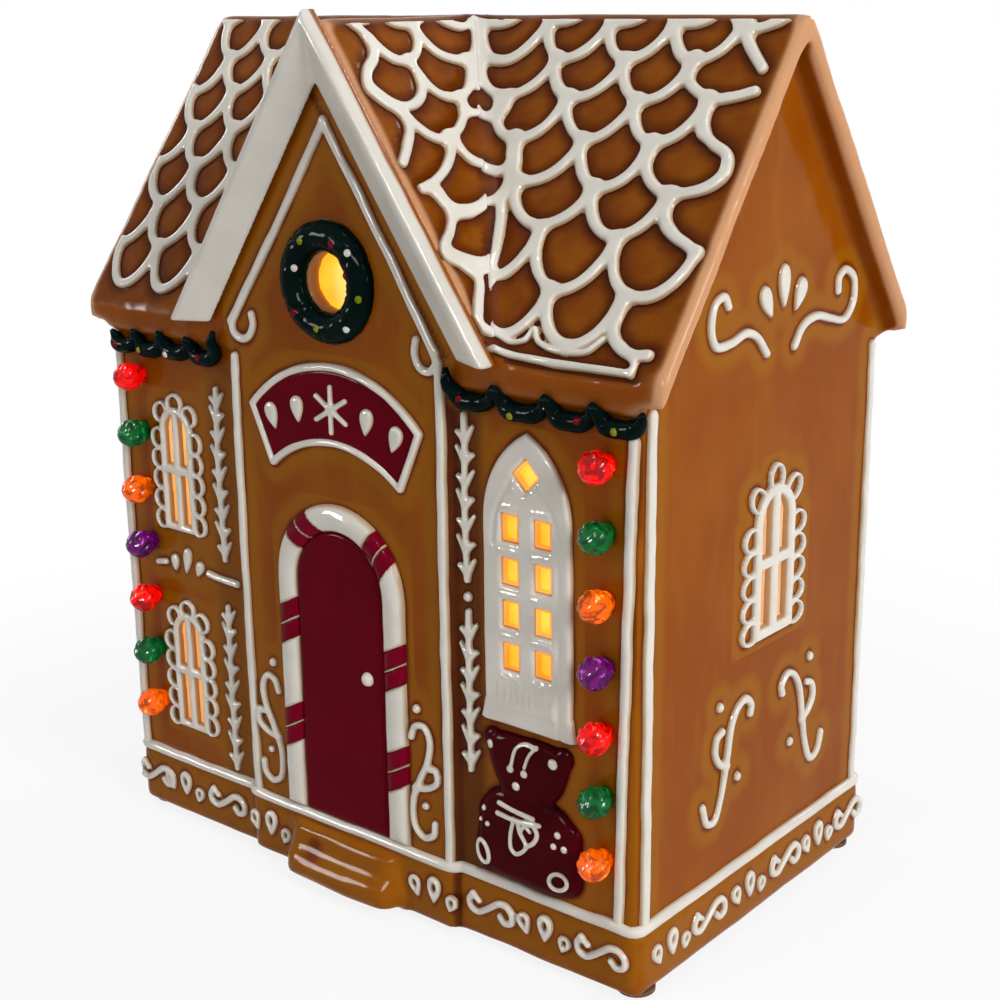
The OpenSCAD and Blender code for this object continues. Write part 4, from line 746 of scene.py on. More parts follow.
def front_wall():
    c = Canvas(-96, 96, 16, 152, 0.4, 21)
    c.stroke([(91.9, 144.2), (90.8, 110), (89.6, 66), (88.6, 19)], 3.1)
    c.stroke([(-92.4, 144.4), (-92.8, 90), (-92.6, 19)], 3.1)
    sprig(c, 40.8, 100.6, 143.6, [103.5, 109.5, 115.5, 121.5, 127, 133, 138.5])
    sprig(c, 41.2, 48, 92, [51.5, 57.5, 63.5, 69.2, 75, 80.6, 86.4])
    sprig(c, -51, 87.5, 138, [90.5, 96, 101.6, 107.4, 113, 118.8, 124.6, 130.2, 134.6])
    sprig(c, -51, 22, 73, [25, 30.8, 36.6, 42.4, 48, 53.8, 59.6, 65.2, 69.6])
    c.dot(40.8, 96, 2.8)
    c.stroke([(-81, 81.2), (-77.5, 81.8)], 2.0)
    c.fill(drop(-73.5, 79.4, 3.4, 5.6), 1.4)
    c.fill(drop(-68.5, 79.4, 3.8, 8.4, -8), 1.6)
    c.fill(drop(-63.4, 79.2, 3.4, 5.6, -20), 1.4)
    c.stroke([(-58.5, 81.6), (-46.4, 80.8)], 2.2)
    return c


DOOR_SCROLL = [(-28.5, 53), (-30, 56.3), (-33.3, 56.8), (-35.2, 53), (-34, 47), (-31, 41), (-28.6, 34.5),
               (-29, 27), (-32.5, 24.2), (-35.8, 26), (-36.3, 29.5)]
DOOR_BRANCH = [(-29.5, 38.5), (-34, 39.5), (-37.3, 42), (-37, 45.2), (-34.8, 45.4)]


def bay_wall():
    c = Canvas(-44, 40, 16, 218, 0.4, 23)
    for line, w in (([(-39.6, 149), (-39.9, 100), (-39.4, 19)], 2.9),
                    ([(34.9, 156), (34.9, 100), (34.9, 19)], 2.9),
                    ([(-1.8, 213.2), (-20, 186.6), (-40, 158.8)], 2.7),
                    ([(-1.8, 213.2), (16, 186), (33.6, 158.6)], 2.7),
                    ([(-40, 158.8), (-39.4, 155.8), (-36.6, 154.4), (-33.4, 155.4), (-31.6, 158.4),
                      (-32, 161.4)], 2.3),
                    ([(33.6, 158.6), (34, 155.6), (31.4, 153.6), (28.4, 154.6), (27, 157.8),
                      (27.6, 161.2)], 2.3)):
        c.stroke(line, w)
    drawn_twice(c, BAY_X - 0.6, (DOOR_SCROLL, DOOR_BRANCH), 2.1, ((-30.5, 61.5, 2.7), (-33, 34, 2.4)))
    return c


SIDE_SCROLL = [(-5.5, 60.5), (-5, 63), (-8, 65.5), (-12, 64), (-15, 59), (-17, 50), (-19.5, 41),
               (-22.5, 35.5), (-26, 36.5), (-28, 41.5)]
SIDE_BRANCH = [(-16.6, 49.5), (-20, 51), (-22.4, 54.6), (-21.8, 58.6), (-19, 59.8)]


def side_wall(seed):
    c = Canvas(-58, 58, 16, 196, 0.4, seed)
    c.stroke([(-52.6, 150), (-53, 100), (-53.2, 19)], 3.4)
    c.stroke([(53.2, 150), (53.4, 100), (53.4, 19)], 2.6)
    drawn_twice(c, 2.6, (SIDE_SCROLL, SIDE_BRANCH), 2.3, ((-20.5, 67, 2.8), (-11, 44.5, 2.8)))
    for x, z, turn in ((-1.2, 165, 26), (4.6, 166.6, 0), (10.4, 165, -26)):
        c.fill(drop(x, z, 5.2, 9.5 if turn else 11.5, turn), 2)
    c.stroke([(-21.6, 171), (-23.4, 173.6), (-27.6, 172.2), (-29, 166.6), (-26.4, 162), (-20, 161.6),
              (-13, 163), (-8, 161.4), (-3, 156.6)], 2.4)
    c.stroke([(32.6, 167.6), (32.8, 171), (36.6, 172.6), (41, 169.6), (41, 163.6), (36.6, 159.6),
              (29.6, 160.6), (21.6, 162.4), (15, 161), (10.4, 156.2)], 2.4)
    return c


def back_wall():
    c = Canvas(-96, 96, 16, 152, 0.5, 27)
    for side in (-1, 1):
        c.stroke([(side * 91, 149.6), (side * 90.4, 90), (side * 90.6, 19)], 3)
    return c


# Plinth ornament: trios of drops with lying scrolls between them

def trio(c, x):
    for dx, z, w, h, turn in ((-5.4, 6.6, 4.6, 6.6, 20), (0.2, 6.4, 5.0, 8.2, 0), (5.6, 5.6, 4.4, 5.2, -14)):
        c.fill(drop(x + dx, z, w, h, turn), 1.5, 0.2)
        lean = h * 0.6 * math.sin(math.radians(turn))
        c.cut(oval(x + dx - lean, z + h * 0.6, w * 0.12, h * 0.15, turn, 10))


# A lying scroll and its spur, measured from its middle
CURL = [(-8, 3), (-9.6, 0.8), (-9, -2), (-6, -3), (-3, -1.4), (0, 0.8), (3, 2.8), (6.4, 3), (8.6, 0.8),
        (8.4, -2.2), (5.6, -3.2), (3.6, -1.4)]
SPUR = [(-8, 3), (-5.4, 1.2)]


def lying_curl(c, x):
    for line, w in ((CURL, 2.1), (SPUR, 1.7)):
        c.stroke([(x + 0.8 * a, 10.2 + 0.8 * b) for a, b in line], w)


def plinth_band(u0, u1, trios, curls, seed):
    c = Canvas(u0, u1, 0.5, 17, 0.4, seed, 0.15)
    for x in trios:
        trio(c, x)
    for x in curls:
        lying_curl(c, x)
    return c


# Windows

LOOPS = 5


def lace_window(x, z, w, h, seed):
    """Piped arched window with loops round it. Its panes sit just inside the openings of the wall."""
    c = Canvas(x - w, x + w, z - 3, z + h + w * 0.4, 0.3, seed, 0.1)
    spring = h - w / 2
    loop_h, reach = spring / LOOPS, w * 0.2
    out, r = w / 2 + reach * 0.4, w / 2 + reach * 0.35
    loops = [(x + side * out, z + loop_h * (k + 0.5), 0) for side in (-1, 1) for k in range(LOOPS)]
    loops += [(x + r * math.sin(math.radians(a)), z + spring + r * math.cos(math.radians(a)), 90 - a)
              for a in (-52, 0, 52)]
    for cx, cz, turn in loops:
        c.ring(oval(cx, cz, reach * 0.95, loop_h * 0.46, turn), 1.15, 0.4)
    rim = w * 0.14 + 0.3
    inner = arch(x, z + rim, w - 2 * rim, spring - rim, h - 2 * rim)
    solid = arch(x, z, w, spring, h)
    c.carve(inner)
    c.fill(solid, 0.9, 0.3)
    c.solid = shape_distance(c.X, c.Y, solid)
    bar, rail = z + h * 0.5, h * 0.03 + 0.3
    for side in (-1, 1):
        a, b = sorted((x + side * (w * 0.07 + 0.3), x + side * w / 2))
        c.carve(inner, box(a, b, z, bar - rail))
        c.carve(inner, box(a, b, bar + rail, z + h))
    return c


TALL_X, TALL_Z, TALL_W, TALL_H = 60.5, 64.5, 27.6, 77.48
PANE_W, PANE_H, PANE_PITCH = 5.4, 7.4, 11.3


def pane_spots():
    return [(TALL_X + side * PANE_W * 0.94, TALL_Z + TALL_H * 0.24 + row * PANE_PITCH)
            for row in range(4) for side in (-1, 1)]


def diamond(r):
    z = TALL_Z + TALL_H * 0.862
    return [(TALL_X, z - r), (TALL_X + r, z), (TALL_X, z + r), (TALL_X - r, z)]


def tall_window():
    """Flat frame with a sunk line inside its edge, ledges over the panes and drips at its foot."""
    def sheet(seed, warp):
        return Canvas(TALL_X - 17, TALL_X + 17, TALL_Z - 2, TALL_Z + TALL_H + 2, 0.3, seed, warp)

    c = sheet(41, 0.12)
    outline = arch(TALL_X, TALL_Z, TALL_W, TALL_H * 0.7, TALL_H)
    c.fill(outline, 1.3)
    c.fill([(TALL_X - 15.2, TALL_Z), (TALL_X + 15.2, TALL_Z), (TALL_X + 13.8, TALL_Z + 5.4),
            (TALL_X - 13.8, TALL_Z + 5.4)], 1.3, 1.5)
    half_w, half_h = PANE_W / 2 - 0.25, PANE_H / 2 - 0.25
    for x, z in pane_spots():
        c.carve(box(x - half_w, x + half_w, z - half_h, z + half_h))
    c.carve(diamond(PANE_W * 0.56 * math.sqrt(2) - 0.3))
    c.solid = shape_distance(c.X, c.Y, outline)
    height = 1.45 * c.bead(1.0, 1.3)
    edge, _ = line_distance(c.X, c.Y, arch(TALL_X, TALL_Z - 6, TALL_W - 7, TALL_H * 0.7, TALL_H - 2.4))
    height -= 0.4 * np.exp(-(edge / 0.8) ** 2)
    ledges = sheet(42, 0.3)
    for x, z in pane_spots():
        ledges.stroke([(x - 2.6, z + 5.5), (x + 2.4, z + 5.7)], 1.3)
        if z < TALL_Z + 24:
            ledges.stroke([(x - 2.4, z - 5.4), (x - 0.6, z - 6.1), (x + 0.6, z - 5.3), (x + 2.4, z - 5.7)],
                          1.2)
    peak = [(-3.4, 62.4), (-0.4, 60.8), (2.6, 62.6)]
    sill = [(-9, 5.4), (-5, 6.2), (0, 5.2), (4, 6.1), (8.6, 5.6)]
    ledges.stroke([(TALL_X + a, TALL_Z + b) for a, b in peak], 1.2)
    for k in range(9):
        x = TALL_X - 8.4 + 2.1 * k
        ledges.fill(drop(x, TALL_Z + 5.0 + 0.5 * (k % 2), 2.0, 7.4 - 1.6 * (k % 3)), 1.0, 0.6)
    ledges.stroke([(TALL_X + a, TALL_Z + b) for a, b in sill], 1.6)
    height += np.where(c.d < -0.3, ledges.bead(0.24), 0)
    c.height = np.clip(height, 0.05, 1.8)
    return c


# Door and sign

DOOR_W, DOOR_TOP, DOOR_FOOT, BAND = 47.0, 113.0, 20.0, 7.6


def door_face():
    """Canvases for the band round the door, its leaf and the slanted stripes on the band."""
    def sheet(step, seed, warp):
        return Canvas(BAY_X - 26, BAY_X + 26, DOOR_FOOT - 2, DOOR_TOP + 2, step, seed, warp)

    rise = DOOR_TOP - DOOR_FOOT
    spring = rise - DOOR_W / 2
    inner = DOOR_W - 2 * BAND
    band = sheet(0.35, 51, 0.12)
    band.fill(arch(BAY_X, DOOR_FOOT, DOOR_W, spring, rise), BAND / 2)
    band.cut(arch(BAY_X, DOOR_FOOT - 3, inner, spring + 3, rise - BAND + 3))
    panel = sheet(0.5, 52, 0.1)
    panel.fill(arch(BAY_X, DOOR_FOOT, inner + 0.6, spring, rise - BAND + 0.3), 1.6)
    stripes = sheet(0.35, 53, 0.15)
    leg = (DOOR_W - BAND) / 2
    places = [(x * leg, DOOR_FOOT + s * spring, 28)
              for x, s in ((-1, 0.36), (-1, 0.81), (1, 0.32), (1, 0.74))]
    for turn in (-50, 41):
        a = math.radians(90 + turn)
        places.append((leg * math.cos(a), DOOR_FOOT + spring + leg * math.sin(a), 90 + turn + 14))
    gap, half = 2.65, 2.3
    for x, z, turn in places:
        for middle in (-gap, gap):
            stripes.fill(turned(box(-9, 9, middle - half, middle + half), turn, BAY_X + x, z), 1, 0.05)
    return band, panel, stripes


SIGN_W, SIGN_TOP, SIGN_BAND = 63.0, 151.5, 22.5


def sign_outline(inset):
    """The curved field of the sign, smaller all round by about inset."""
    def arc(half, rise, z):
        r = (half * half + rise * rise) / (2 * rise)
        t = np.linspace(math.asin(half / r), -math.asin(half / r), 28)
        return np.stack([r * np.sin(t), z - r + r * np.cos(t)], -1)

    rise = SIGN_W * 0.215
    top = arc(SIGN_W / 2 - inset * 1.15, rise - inset * 0.2, SIGN_TOP - inset)
    foot = arc(SIGN_W / 2 - SIGN_W * 0.11 - inset * 1.05, rise * 0.64 - inset * 0.1,
               SIGN_TOP - SIGN_BAND + inset)
    return np.concatenate([top, foot[::-1]]) + [BAY_X, 0]


def sign_face():
    """Canvases for the field of the sign, its border and the ornament on it."""
    def sheet(step, seed, warp):
        return Canvas(BAY_X - 34, BAY_X + 34, 114, 154, step, seed, warp)

    field, border, mark = sheet(0.4, 61, 0.1), sheet(0.35, 62, 0.12), sheet(0.35, 63, 0.15)
    field.fill(sign_outline(1.6), 1.2)
    border.ring(sign_outline(1.1), 2.3)
    z, arm = SIGN_TOP - SIGN_BAND / 2 - 1, 6.1
    for a in range(0, 180, 60):
        dx, dz = arm * math.cos(math.radians(a + 30)), arm * math.sin(math.radians(a + 30))
        mark.stroke([(BAY_X - dx, z - dz), (BAY_X + dx, z + dz)], 1.5)
    for side in (-1, 1):
        for k in (0, 1):
            mark.fill(drop(BAY_X + side * (12.1 + k * 9.1), z - 1.5 - 3 * k - 3.8, 4.8, 7.6,
                           side * (-8 - k * 12)), 1.8)
    return field, border, mark


# Bear: a head that narrows to the neck over a round body

def bear_face():
    c = Canvas(40, 82, 18, 64, 0.3, 71, 0.15)
    head = bent([(59, 62), (52, 62), (48.6, 60.6), (47.4, 57), (49.4, 50), (51.2, 46), (52, 42), (59, 41),
                 (67, 42), (68.6, 46), (71.2, 50), (73.2, 56.6), (72.4, 60.4), (69, 61.8), (62, 62.3)])
    body = bent([(59, 46.4), (51, 46), (46.4, 43), (44.4, 38), (43.6, 30), (45, 24), (49, 21.2), (60, 20.4),
                 (71, 20.6), (76.2, 23.4), (77.8, 29), (77, 36), (74.6, 42), (70, 45.6), (64, 46.6)])
    lobes = [(head, 2.1), (body, 2.5)] + [(oval(x, z, a, b), t) for x, z, a, b, t in (
        (48.8, 59.4, 3.0, 3.0, 1.6), (71.6, 59.4, 3.0, 3.0, 1.6), (46.8, 27, 4.2, 6.4, 2.5),
        (72, 26.4, 5.6, 5.0, 2.5), (47.4, 37.4, 3.8, 4.8, 2.1), (73.6, 37.4, 3.8, 4.8, 2.1))]
    height = np.zeros(c.U.shape)
    for points, t in lobes:
        c.fill(points, 1.6, 0.8)
        deep = np.clip(-shape_distance(c.X, c.Y, points) / 3.4, 0, 1)
        height = np.maximum(height, t * np.sqrt(1 - (1 - deep) ** 2))
    c.height = np.clip(height, 0.3, 2.5)
    mark = Canvas(40, 82, 18, 64, 0.3, 71, 0.12)
    for x, z, w in ((48.8, 58, 2.5), (69.4, 58, 3.0), (55.8, 53, 2.3), (60.2, 52.7, 2.3), (57.6, 48.6, 2.5),
                    (46.9, 39.6, 1.7), (45.7, 36, 1.3), (48.2, 35.4, 1.6), (71.2, 39.2, 2.1),
                    (69.9, 35.7, 1.9), (73.2, 35.8, 2.1)):
        mark.dot(x, z, w)
    for line, w in (([(56.1, 54), (57.6, 59), (60.2, 60.8), (64.2, 60.6)], 1.1),
                    ([(64, 60.8), (61.8, 58), (60.4, 54.6)], 1.0),
                    ([(52.4, 42.6), (57, 41.8), (63.4, 41.4)], 1.5),
                    ([(51.8, 39.6), (58, 39.2), (65.4, 40.1)], 1.5),
                    ([(57.2, 39.4), (56.1, 35), (56.1, 31), (57.8, 29.7), (60.4, 31.4), (61.2, 33.2),
                      (59.2, 36.4), (58.4, 39.2)], 1.3),
                    ([(60.6, 39.4), (63.4, 39.4), (64.8, 37.4), (63.6, 34.6), (61.2, 32.8)], 1.4),
                    ([(59.4, 36.6), (60.8, 38.4), (62.6, 37.4)], 1.0)):
        mark.stroke(line, w, 0.5)
    mark.ring(oval(46.6, 27, 1.8, 3.2, 18), 1.3)
    mark.ring(oval(71.4, 26, 2.9, 2.2, 22), 1.3)
    return c, mark


# Garlands

def tube(build, path, radii):
    """A closed tube of round rings along a path."""
    way = np.gradient(path, axis=0)
    way /= np.linalg.norm(way, axis=1)[:, None]
    out = np.array([0, -1.0, 0]) - way * -way[:, 1:2]
    out /= np.linalg.norm(out, axis=1)[:, None]
    side = np.cross(way, out)
    a = circle(18)
    build.sweep([p + r * (np.outer(np.cos(a), o) + np.outer(np.sin(a), s))
                 for p, o, s, r in zip(path, out, side, radii)], closed=False)


def garland(word, cusps, lows, seed):
    """Swags between cusps: each hangs on the wall and its ends climb the eave's edge."""
    build = Build()
    for k, (a, b, low) in enumerate(zip(cusps[:-1], cusps[1:], lows)):
        s = np.linspace(0, 1, 36)
        lean = np.abs(2 * s - 1)
        x = a[0] + (b[0] - a[0]) * s - 2 * (1 - lean ** 3)
        top = np.where(s < 0.5, a[1], b[1])
        z = low + (top - low) * lean ** 4
        y = -WALL_Y - 1.5 - 3.0 * np.clip((z - 148) / 4, 0, 1) ** 1.4
        r = 2.45 * (1 - 0.72 * lean ** 5) * (1 + 0.06 * lattice_noise(x, z, 3, seed + k))
        tube(build, np.stack([x, y, z], -1), r)
    build.piece(word + "_garland", "pine", "garland_" + word)


# The casting, remeshed soft as a glazed surface

def smooth_in_place(p, edges, strength, rounds):
    """Evens out a mesh where strength is above zero."""
    ends = np.concatenate([edges[:, 0], edges[:, 1]])
    others = np.concatenate([edges[:, 1], edges[:, 0]])
    share = np.maximum(np.bincount(ends, minlength=len(p)), 1)[:, None]
    for _ in range(rounds):
        mean = np.stack([np.bincount(ends, p[others, k], len(p)) for k in range(3)], -1) / share
        p = p + (mean - p) * strength[:, None]
    return p


def remeshed(node, voxel, factor, rounds):
    """A soft copy of a node's mesh, its points in millimetres and its edges."""
    work = bpy.data.objects.new("work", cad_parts[node].data.copy())
    bpy.context.scene.collection.objects.link(work)
    remesh = work.modifiers.new("remesh", "REMESH")
    remesh.mode, remesh.voxel_size = "VOXEL", voxel * MM
    smooth = work.modifiers.new("smooth", "SMOOTH")
    smooth.factor, smooth.iterations = factor, rounds
    graph = bpy.context.evaluated_depsgraph_get()
    mesh = bpy.data.meshes.new_from_object(work.evaluated_get(graph))
    bpy.data.objects.remove(work)
    mesh.materials.clear()
    edges = np.zeros(len(mesh.edges) * 2, int)
    mesh.edges.foreach_get("vertices", edges)
    return mesh, points_of(mesh) / MM - ORIGIN, edges.reshape(-1, 2)


def slope_gap(p, side):
    """Distance above the plane of one slope of the front gable."""
    return side * (p[:, 0] - BAY_X) * GABLE_SIN + (p[:, 2] - RIDGE_Z) * GABLE_COS


FILLET = 5.0


def filleted(p):
    """Lifts what lies in the valleys between the roofs onto a hollow curve."""
    for side in (-1, 1):
        main = -(p[:, 1] + ROOF_Y) * ROOF_SIN + (p[:, 2] - EAVE_Z) * ROOF_COS
        cross = slope_gap(p, side)
        way = np.array([side * GABLE_SIN, -ROOF_SIN, ROOF_COS + GABLE_COS])
        way /= np.linalg.norm(way)
        share = way @ [0, -ROOF_SIN, ROOF_COS]
        lift = np.clip(FILLET - np.abs(main - cross), 0, None) ** 2 / (4 * FILLET * share)
        on_top = ((np.abs(np.minimum(main, cross)) < 3) & (p[:, 1] > -ROOF_Y - 0.4)
                  & (side * (p[:, 0] - BAY_X) > 0))
        p = p + (lift * on_top)[:, None] * way
    return p


def clear_panes(p, panel, canvas):
    """Moves the wall's reveals back behind the frame of a window."""
    u, v, h = panel.local(p)
    near = (h > -5.4) & (h < -0.3) & canvas.holds(u, v)
    at = canvas.cell(u[near], v[near])
    gv, gu = np.gradient(canvas.d, canvas.step)
    length = np.maximum(np.hypot(gu, gv), 0.2)[at]
    push = np.clip(canvas.d[at] + 0.55, 0, 1.6) * (canvas.solid[at] < -0.8)
    p[near] -= np.outer(push * gu[at] / length, panel.u) + np.outer(push * gv[at] / length, panel.v)


def ramp(x, lo, hi):
    """0 at lo and 1 at hi, and straight between them."""
    return np.clip((x - lo) / (hi - lo), 0, 1)


def softened(p, edges, margin):
    """Evens out the margins of the roof, eaves, ridge, doorstep and valleys. Also says where valleys lie."""
    eave = ramp(np.abs(p[:, 1]), 58.4, 59.6) * (p[:, 2] > 144) * (p[:, 2] < 161)
    ridge = ramp(p[:, 2], 236.5, 238)
    raised = filleted(p)
    lift = np.linalg.norm(raised - p, axis=1)
    step = (p[:, 2] < PLINTH_Z + 1) * (p[:, 1] < -BAY_BAND_Y - 0.6)
    strength = np.clip(margin + eave + ridge + step, 0, 1) * 0.5
    p = smooth_in_place(raised, edges, strength, 22)
    return smooth_in_place(p, edges, (lift > 0.02) * 0.5, 16), np.clip(lift / 0.35, 0, 1)


def glaze_pools(p, n, drawn, valley):
    """Distance to the nearest piping, and which points are tiles. Beside piping the roof's glaze sinks."""
    pool, tile = np.full(len(p), FAR), np.zeros(len(p))
    for panel, canvas in drawn:
        u, v, h = panel.local(p)
        near = (np.abs(h) < 2.6) & (n @ panel.n > 0.4) & canvas.holds(u, v)
        is_roof = panel.n[2] > 0
        if is_roof:
            near &= n[:, 2] > 0.2
        d = canvas.d[canvas.cell(u[near], v[near])]
        pool[near] = np.minimum(pool[near], d)
        if is_roof:
            tile[near] = 1
            dip = 0.35 * np.exp(-(np.clip(d, 0, 9) / 1.4) ** 2) * (1 - valley[near])
            p[near] -= dip[:, None] * panel.n
    return pool, tile


def dark_corners(p, n):
    """Painted shade: where the brown is darkened beside the bay, on strips of the front beside it and in the
    groove of the gable.
    """
    x, y, z = p.T
    below_eave = ramp(-z, -147, -144)
    front = (n[:, 1] < -0.6) * (np.abs(y + WALL_Y) < 1) * below_eave
    strips = front * (ramp(x, 35.4, 36.6) * ramp(-x, -47.4, -44.4) * 0.8
                      + ramp(-x, 43, 46) * ramp(x, -57, -53) * 0.35)
    beside_bay = np.clip(1.5 - np.abs(np.abs(x - BAY_X) - BAY_W / 2 - 0.8), 0, 1)
    beside_bay = beside_bay * (y < -WALL_Y + 0.6) * below_eave
    groove = np.clip(1.2 - np.abs(slope_gap(p, 1) + 14.6) / 1.1, 0, 1) * (n[:, 1] < -0.6) * (z > 158)
    return np.maximum(strips, np.maximum(beside_bay, groove) * (n[:, 1] < -0.3))


def bulges(p, n, edges):
    """How sharply the surface turns outward at each point."""
    way = n[edges[:, 1]] - n[edges[:, 0]]
    gap = p[edges[:, 1]] - p[edges[:, 0]]
    turn = np.einsum("ij,ij->i", way, gap) / np.maximum(np.linalg.norm(gap, axis=1), 1e-6)
    bulge = np.zeros(len(p))
    for k in (0, 1):
        np.add.at(bulge, edges[:, k], turn)
    return smooth_in_place(bulge[:, None] * np.ones(3), edges, np.full(len(p), 0.6), 4)[:, 0]


def soft_shell(drawn, windows):
    mesh, p, edges = remeshed("house_shell", 1.15, 0.5, 4)
    for panel, canvas in windows:
        clear_panes(p, panel, canvas)
    margin = ramp(np.abs(p[:, 0]), 98.5, 100.5) * (p[:, 2] > 140)
    p, valley = softened(p, edges, margin)
    mesh.vertices.foreach_set("co", to_row(p).ravel())
    n = np.zeros(p.size)
    mesh.vertex_normals.foreach_get("vector", n)
    n = n.reshape(-1, 3)
    steep = ramp(-p[:, 1], BAY_BAND_Y + 0.2, BAY_BAND_Y + 0.8) * (p[:, 2] < PLINTH_Z)
    lobes = 0.5 + 0.5 * lattice_noise(p[:, 0] * 0.3, p[:, 2] * 1.1 - 0.35 * p[:, 1], 3.6, 8)
    pool, tile = glaze_pools(p, n, drawn, valley)
    p -= (0.9 * lobes * steep)[:, None] * n
    pool = np.where(steep > 0.5, np.minimum(pool, 5.5 - 5.2 * lobes), pool)
    shade = dark_corners(p, n)
    outside = (np.abs(p[:, 0]) < WALL_X + 12) & (n[:, 2] > -0.9)
    wave = (0.16 * lattice_noise(p[:, 0] + p[:, 1] * 0.7, p[:, 2], 13, 5)
            + 0.07 * lattice_noise(p[:, 0] - p[:, 1], p[:, 2] + p[:, 1] * 0.4, 5, 6))
    p += (wave * outside)[:, None] * n
    # Pale edge tint: thin glaze on convex edges and a painted highlight, strongest on the roof and at its
    # verge.
    on_roof = 0.2 + 0.8 * ramp(p[:, 2], 147, 151)
    edge = np.clip(bulges(p, n, edges) * (1 + 0.8 * margin) * on_roof, 0, 1)
    mesh.vertices.foreach_set("co", to_row(p).ravel())
    for name, values in (("pool", pool), ("edge", edge), ("valley", valley), ("tile", tile),
                         ("shade", shade)):
        set_layer(mesh, name, values)
    dress("glazed_casting", mesh, "brown", "house_shell")


# Small round things

BULB_D, BULB_LEN, COLLAR = 8.6, 9.6, 0.95


def ring_at(x, y, z, r, a):
    """A ring round an axis that runs from front to back."""
    return np.stack([x + r * np.cos(a), np.full(a.shape, y), z + r * np.sin(a)], -1)


def bulb(name, side, k, colour):
    """A plastic bulb: peg, collar and a head with twisted facets."""
    build = Build()
    a = circle(36)
    x, z = side * 84.0, 36.0 + 17.0 * k
    rings = [ring_at(x, -WALL_Y + y, z, r, a)
             for y, r in ((4.0, 1.95), (0.1, 1.95), (0.05, 2.7), (-0.8, 2.75), (-COLLAR, 2.5))]
    for s in np.arange(1, 15) / 14:
        r = BULB_D / 2 * (math.sin(math.pi * min(1, s * 0.66 + 0.2)) ** 0.8) * math.sqrt(max(1 - s ** 5, 0))
        flute = 1 - 0.13 * (1 - np.abs(np.cos(4 * (a + 1.3 * s + 0.7 * k)))) * min(1, s * 4)
        rings.append(ring_at(x, -WALL_Y - COLLAR - (BULB_LEN - 1.1) * s, z, max(r, 0.2) * flute, a))
    build.sweep(rings[::-1], closed=False)
    build.piece(name, "bulb_" + colour, name, smooth=False)


def dots(key, spots):
    build = Build()
    a = circle(14)
    for x, y, z, r in spots:
        build.sweep([ring_at(x, y - r * 0.7 * math.cos(t), z, r * math.sin(t), a)
                     for t in np.linspace(0.15, 2.2, 7)], closed=False)
    build.piece("dots_" + key, key)


def knob():
    build = Build()
    a = circle(32)
    build.sweep([ring_at(7.8, -BAY_Y - 1.1 - 1.75 * math.cos(t), 66.1, 2 * math.sin(t), a)
                 for t in np.linspace(0.06, math.pi / 2, 12)], closed=False)
    build.piece("knob", "icing", "door_knob")


WREATH_Z, WREATH_R, WREATH_T = 172.8, 12.0, 4.2


def wreath():
    """A lumpy half roll round the round window."""
    build = Build()
    f = np.linspace(0, math.pi, 15)
    rings = []
    for t in circle(120):
        lump = 1 + 0.09 * lattice_noise(np.full(15, 20 * t), f * 4, 2.2, 91)
        r = np.minimum(WREATH_T * lump, WREATH_T)
        reach = WREATH_R + np.cos(f) * r
        rings.append(np.stack([BAY_X + reach * math.cos(t), -BAY_Y - np.sin(f) * r * 0.98,
                               WREATH_Z + reach * math.sin(t)], -1)[::-1])
    build.sweep(rings)
    build.piece("wreath_ring", "pine", "wreath")


def base_line():
    """A bead laid round the top of the plinth."""
    build = Build()
    x, y, b0, b1 = WALL_X, WALL_Y, BAY_X - BAY_W / 2, BAY_X + BAY_W / 2
    pitch, z = 1.6, 18.5
    corners = [(x, -y), (x, y), (-x, y), (-x, -y), (b0, -y), (b0, -BAY_Y), (b1, -BAY_Y), (b1, -y)]
    path = []
    for (ax, ay), (bx, by) in zip(corners, corners[1:] + corners[:1]):
        steps = max(2, int(math.hypot(bx - ax, by - ay) / pitch))
        path += [(ax + (bx - ax) * k / steps, ay + (by - ay) * k / steps) for k in range(steps)]
    path = np.array(path)
    for _ in range(2):
        path = (np.roll(path, 1, 0) + 2 * path + np.roll(path, -1, 0)) / 4
    way = np.roll(path, -1, 0) - np.roll(path, 1, 0)
    side = np.stack([way[:, 1], -way[:, 0]], -1)
    side /= np.linalg.norm(side, axis=1)[:, None]
    a = circle(14)
    wobble = lattice_noise(np.cumsum(np.full(len(path), pitch)), np.zeros(len(path)), 7, 92)
    out = 0.55 + 1.45 * np.cos(a)
    build.sweep([np.stack([px + sx * out, py + sy * out, z + w * 0.2 + (1.5 + 0.12 * w) * np.sin(a)], -1)
                 for (px, py), (sx, sy), w in zip(path, side, wobble)])
    build.piece("base_line", "icing", "base_line_icing")


def bargeboards():
    """Softened boards, with the brown glaze of the roof running over their upper sides."""
    mesh, p, _ = remeshed("bargeboards", 0.55, 0.5, 7)
    above = np.maximum(slope_gap(p, 1), slope_gap(p, -1))
    wander = 0.5 * lattice_noise(p[:, 0] + p[:, 1], p[:, 2], 9, 93)
    set_layer(mesh, "rim", np.ones(len(p)))
    set_layer(mesh, "brown", ramp(p[:, 1] + wander, -62.4, -61.7) * ramp(above, -1.6, -1.1))
    dress("glazed_bargeboards", mesh, "boards", "bargeboards")


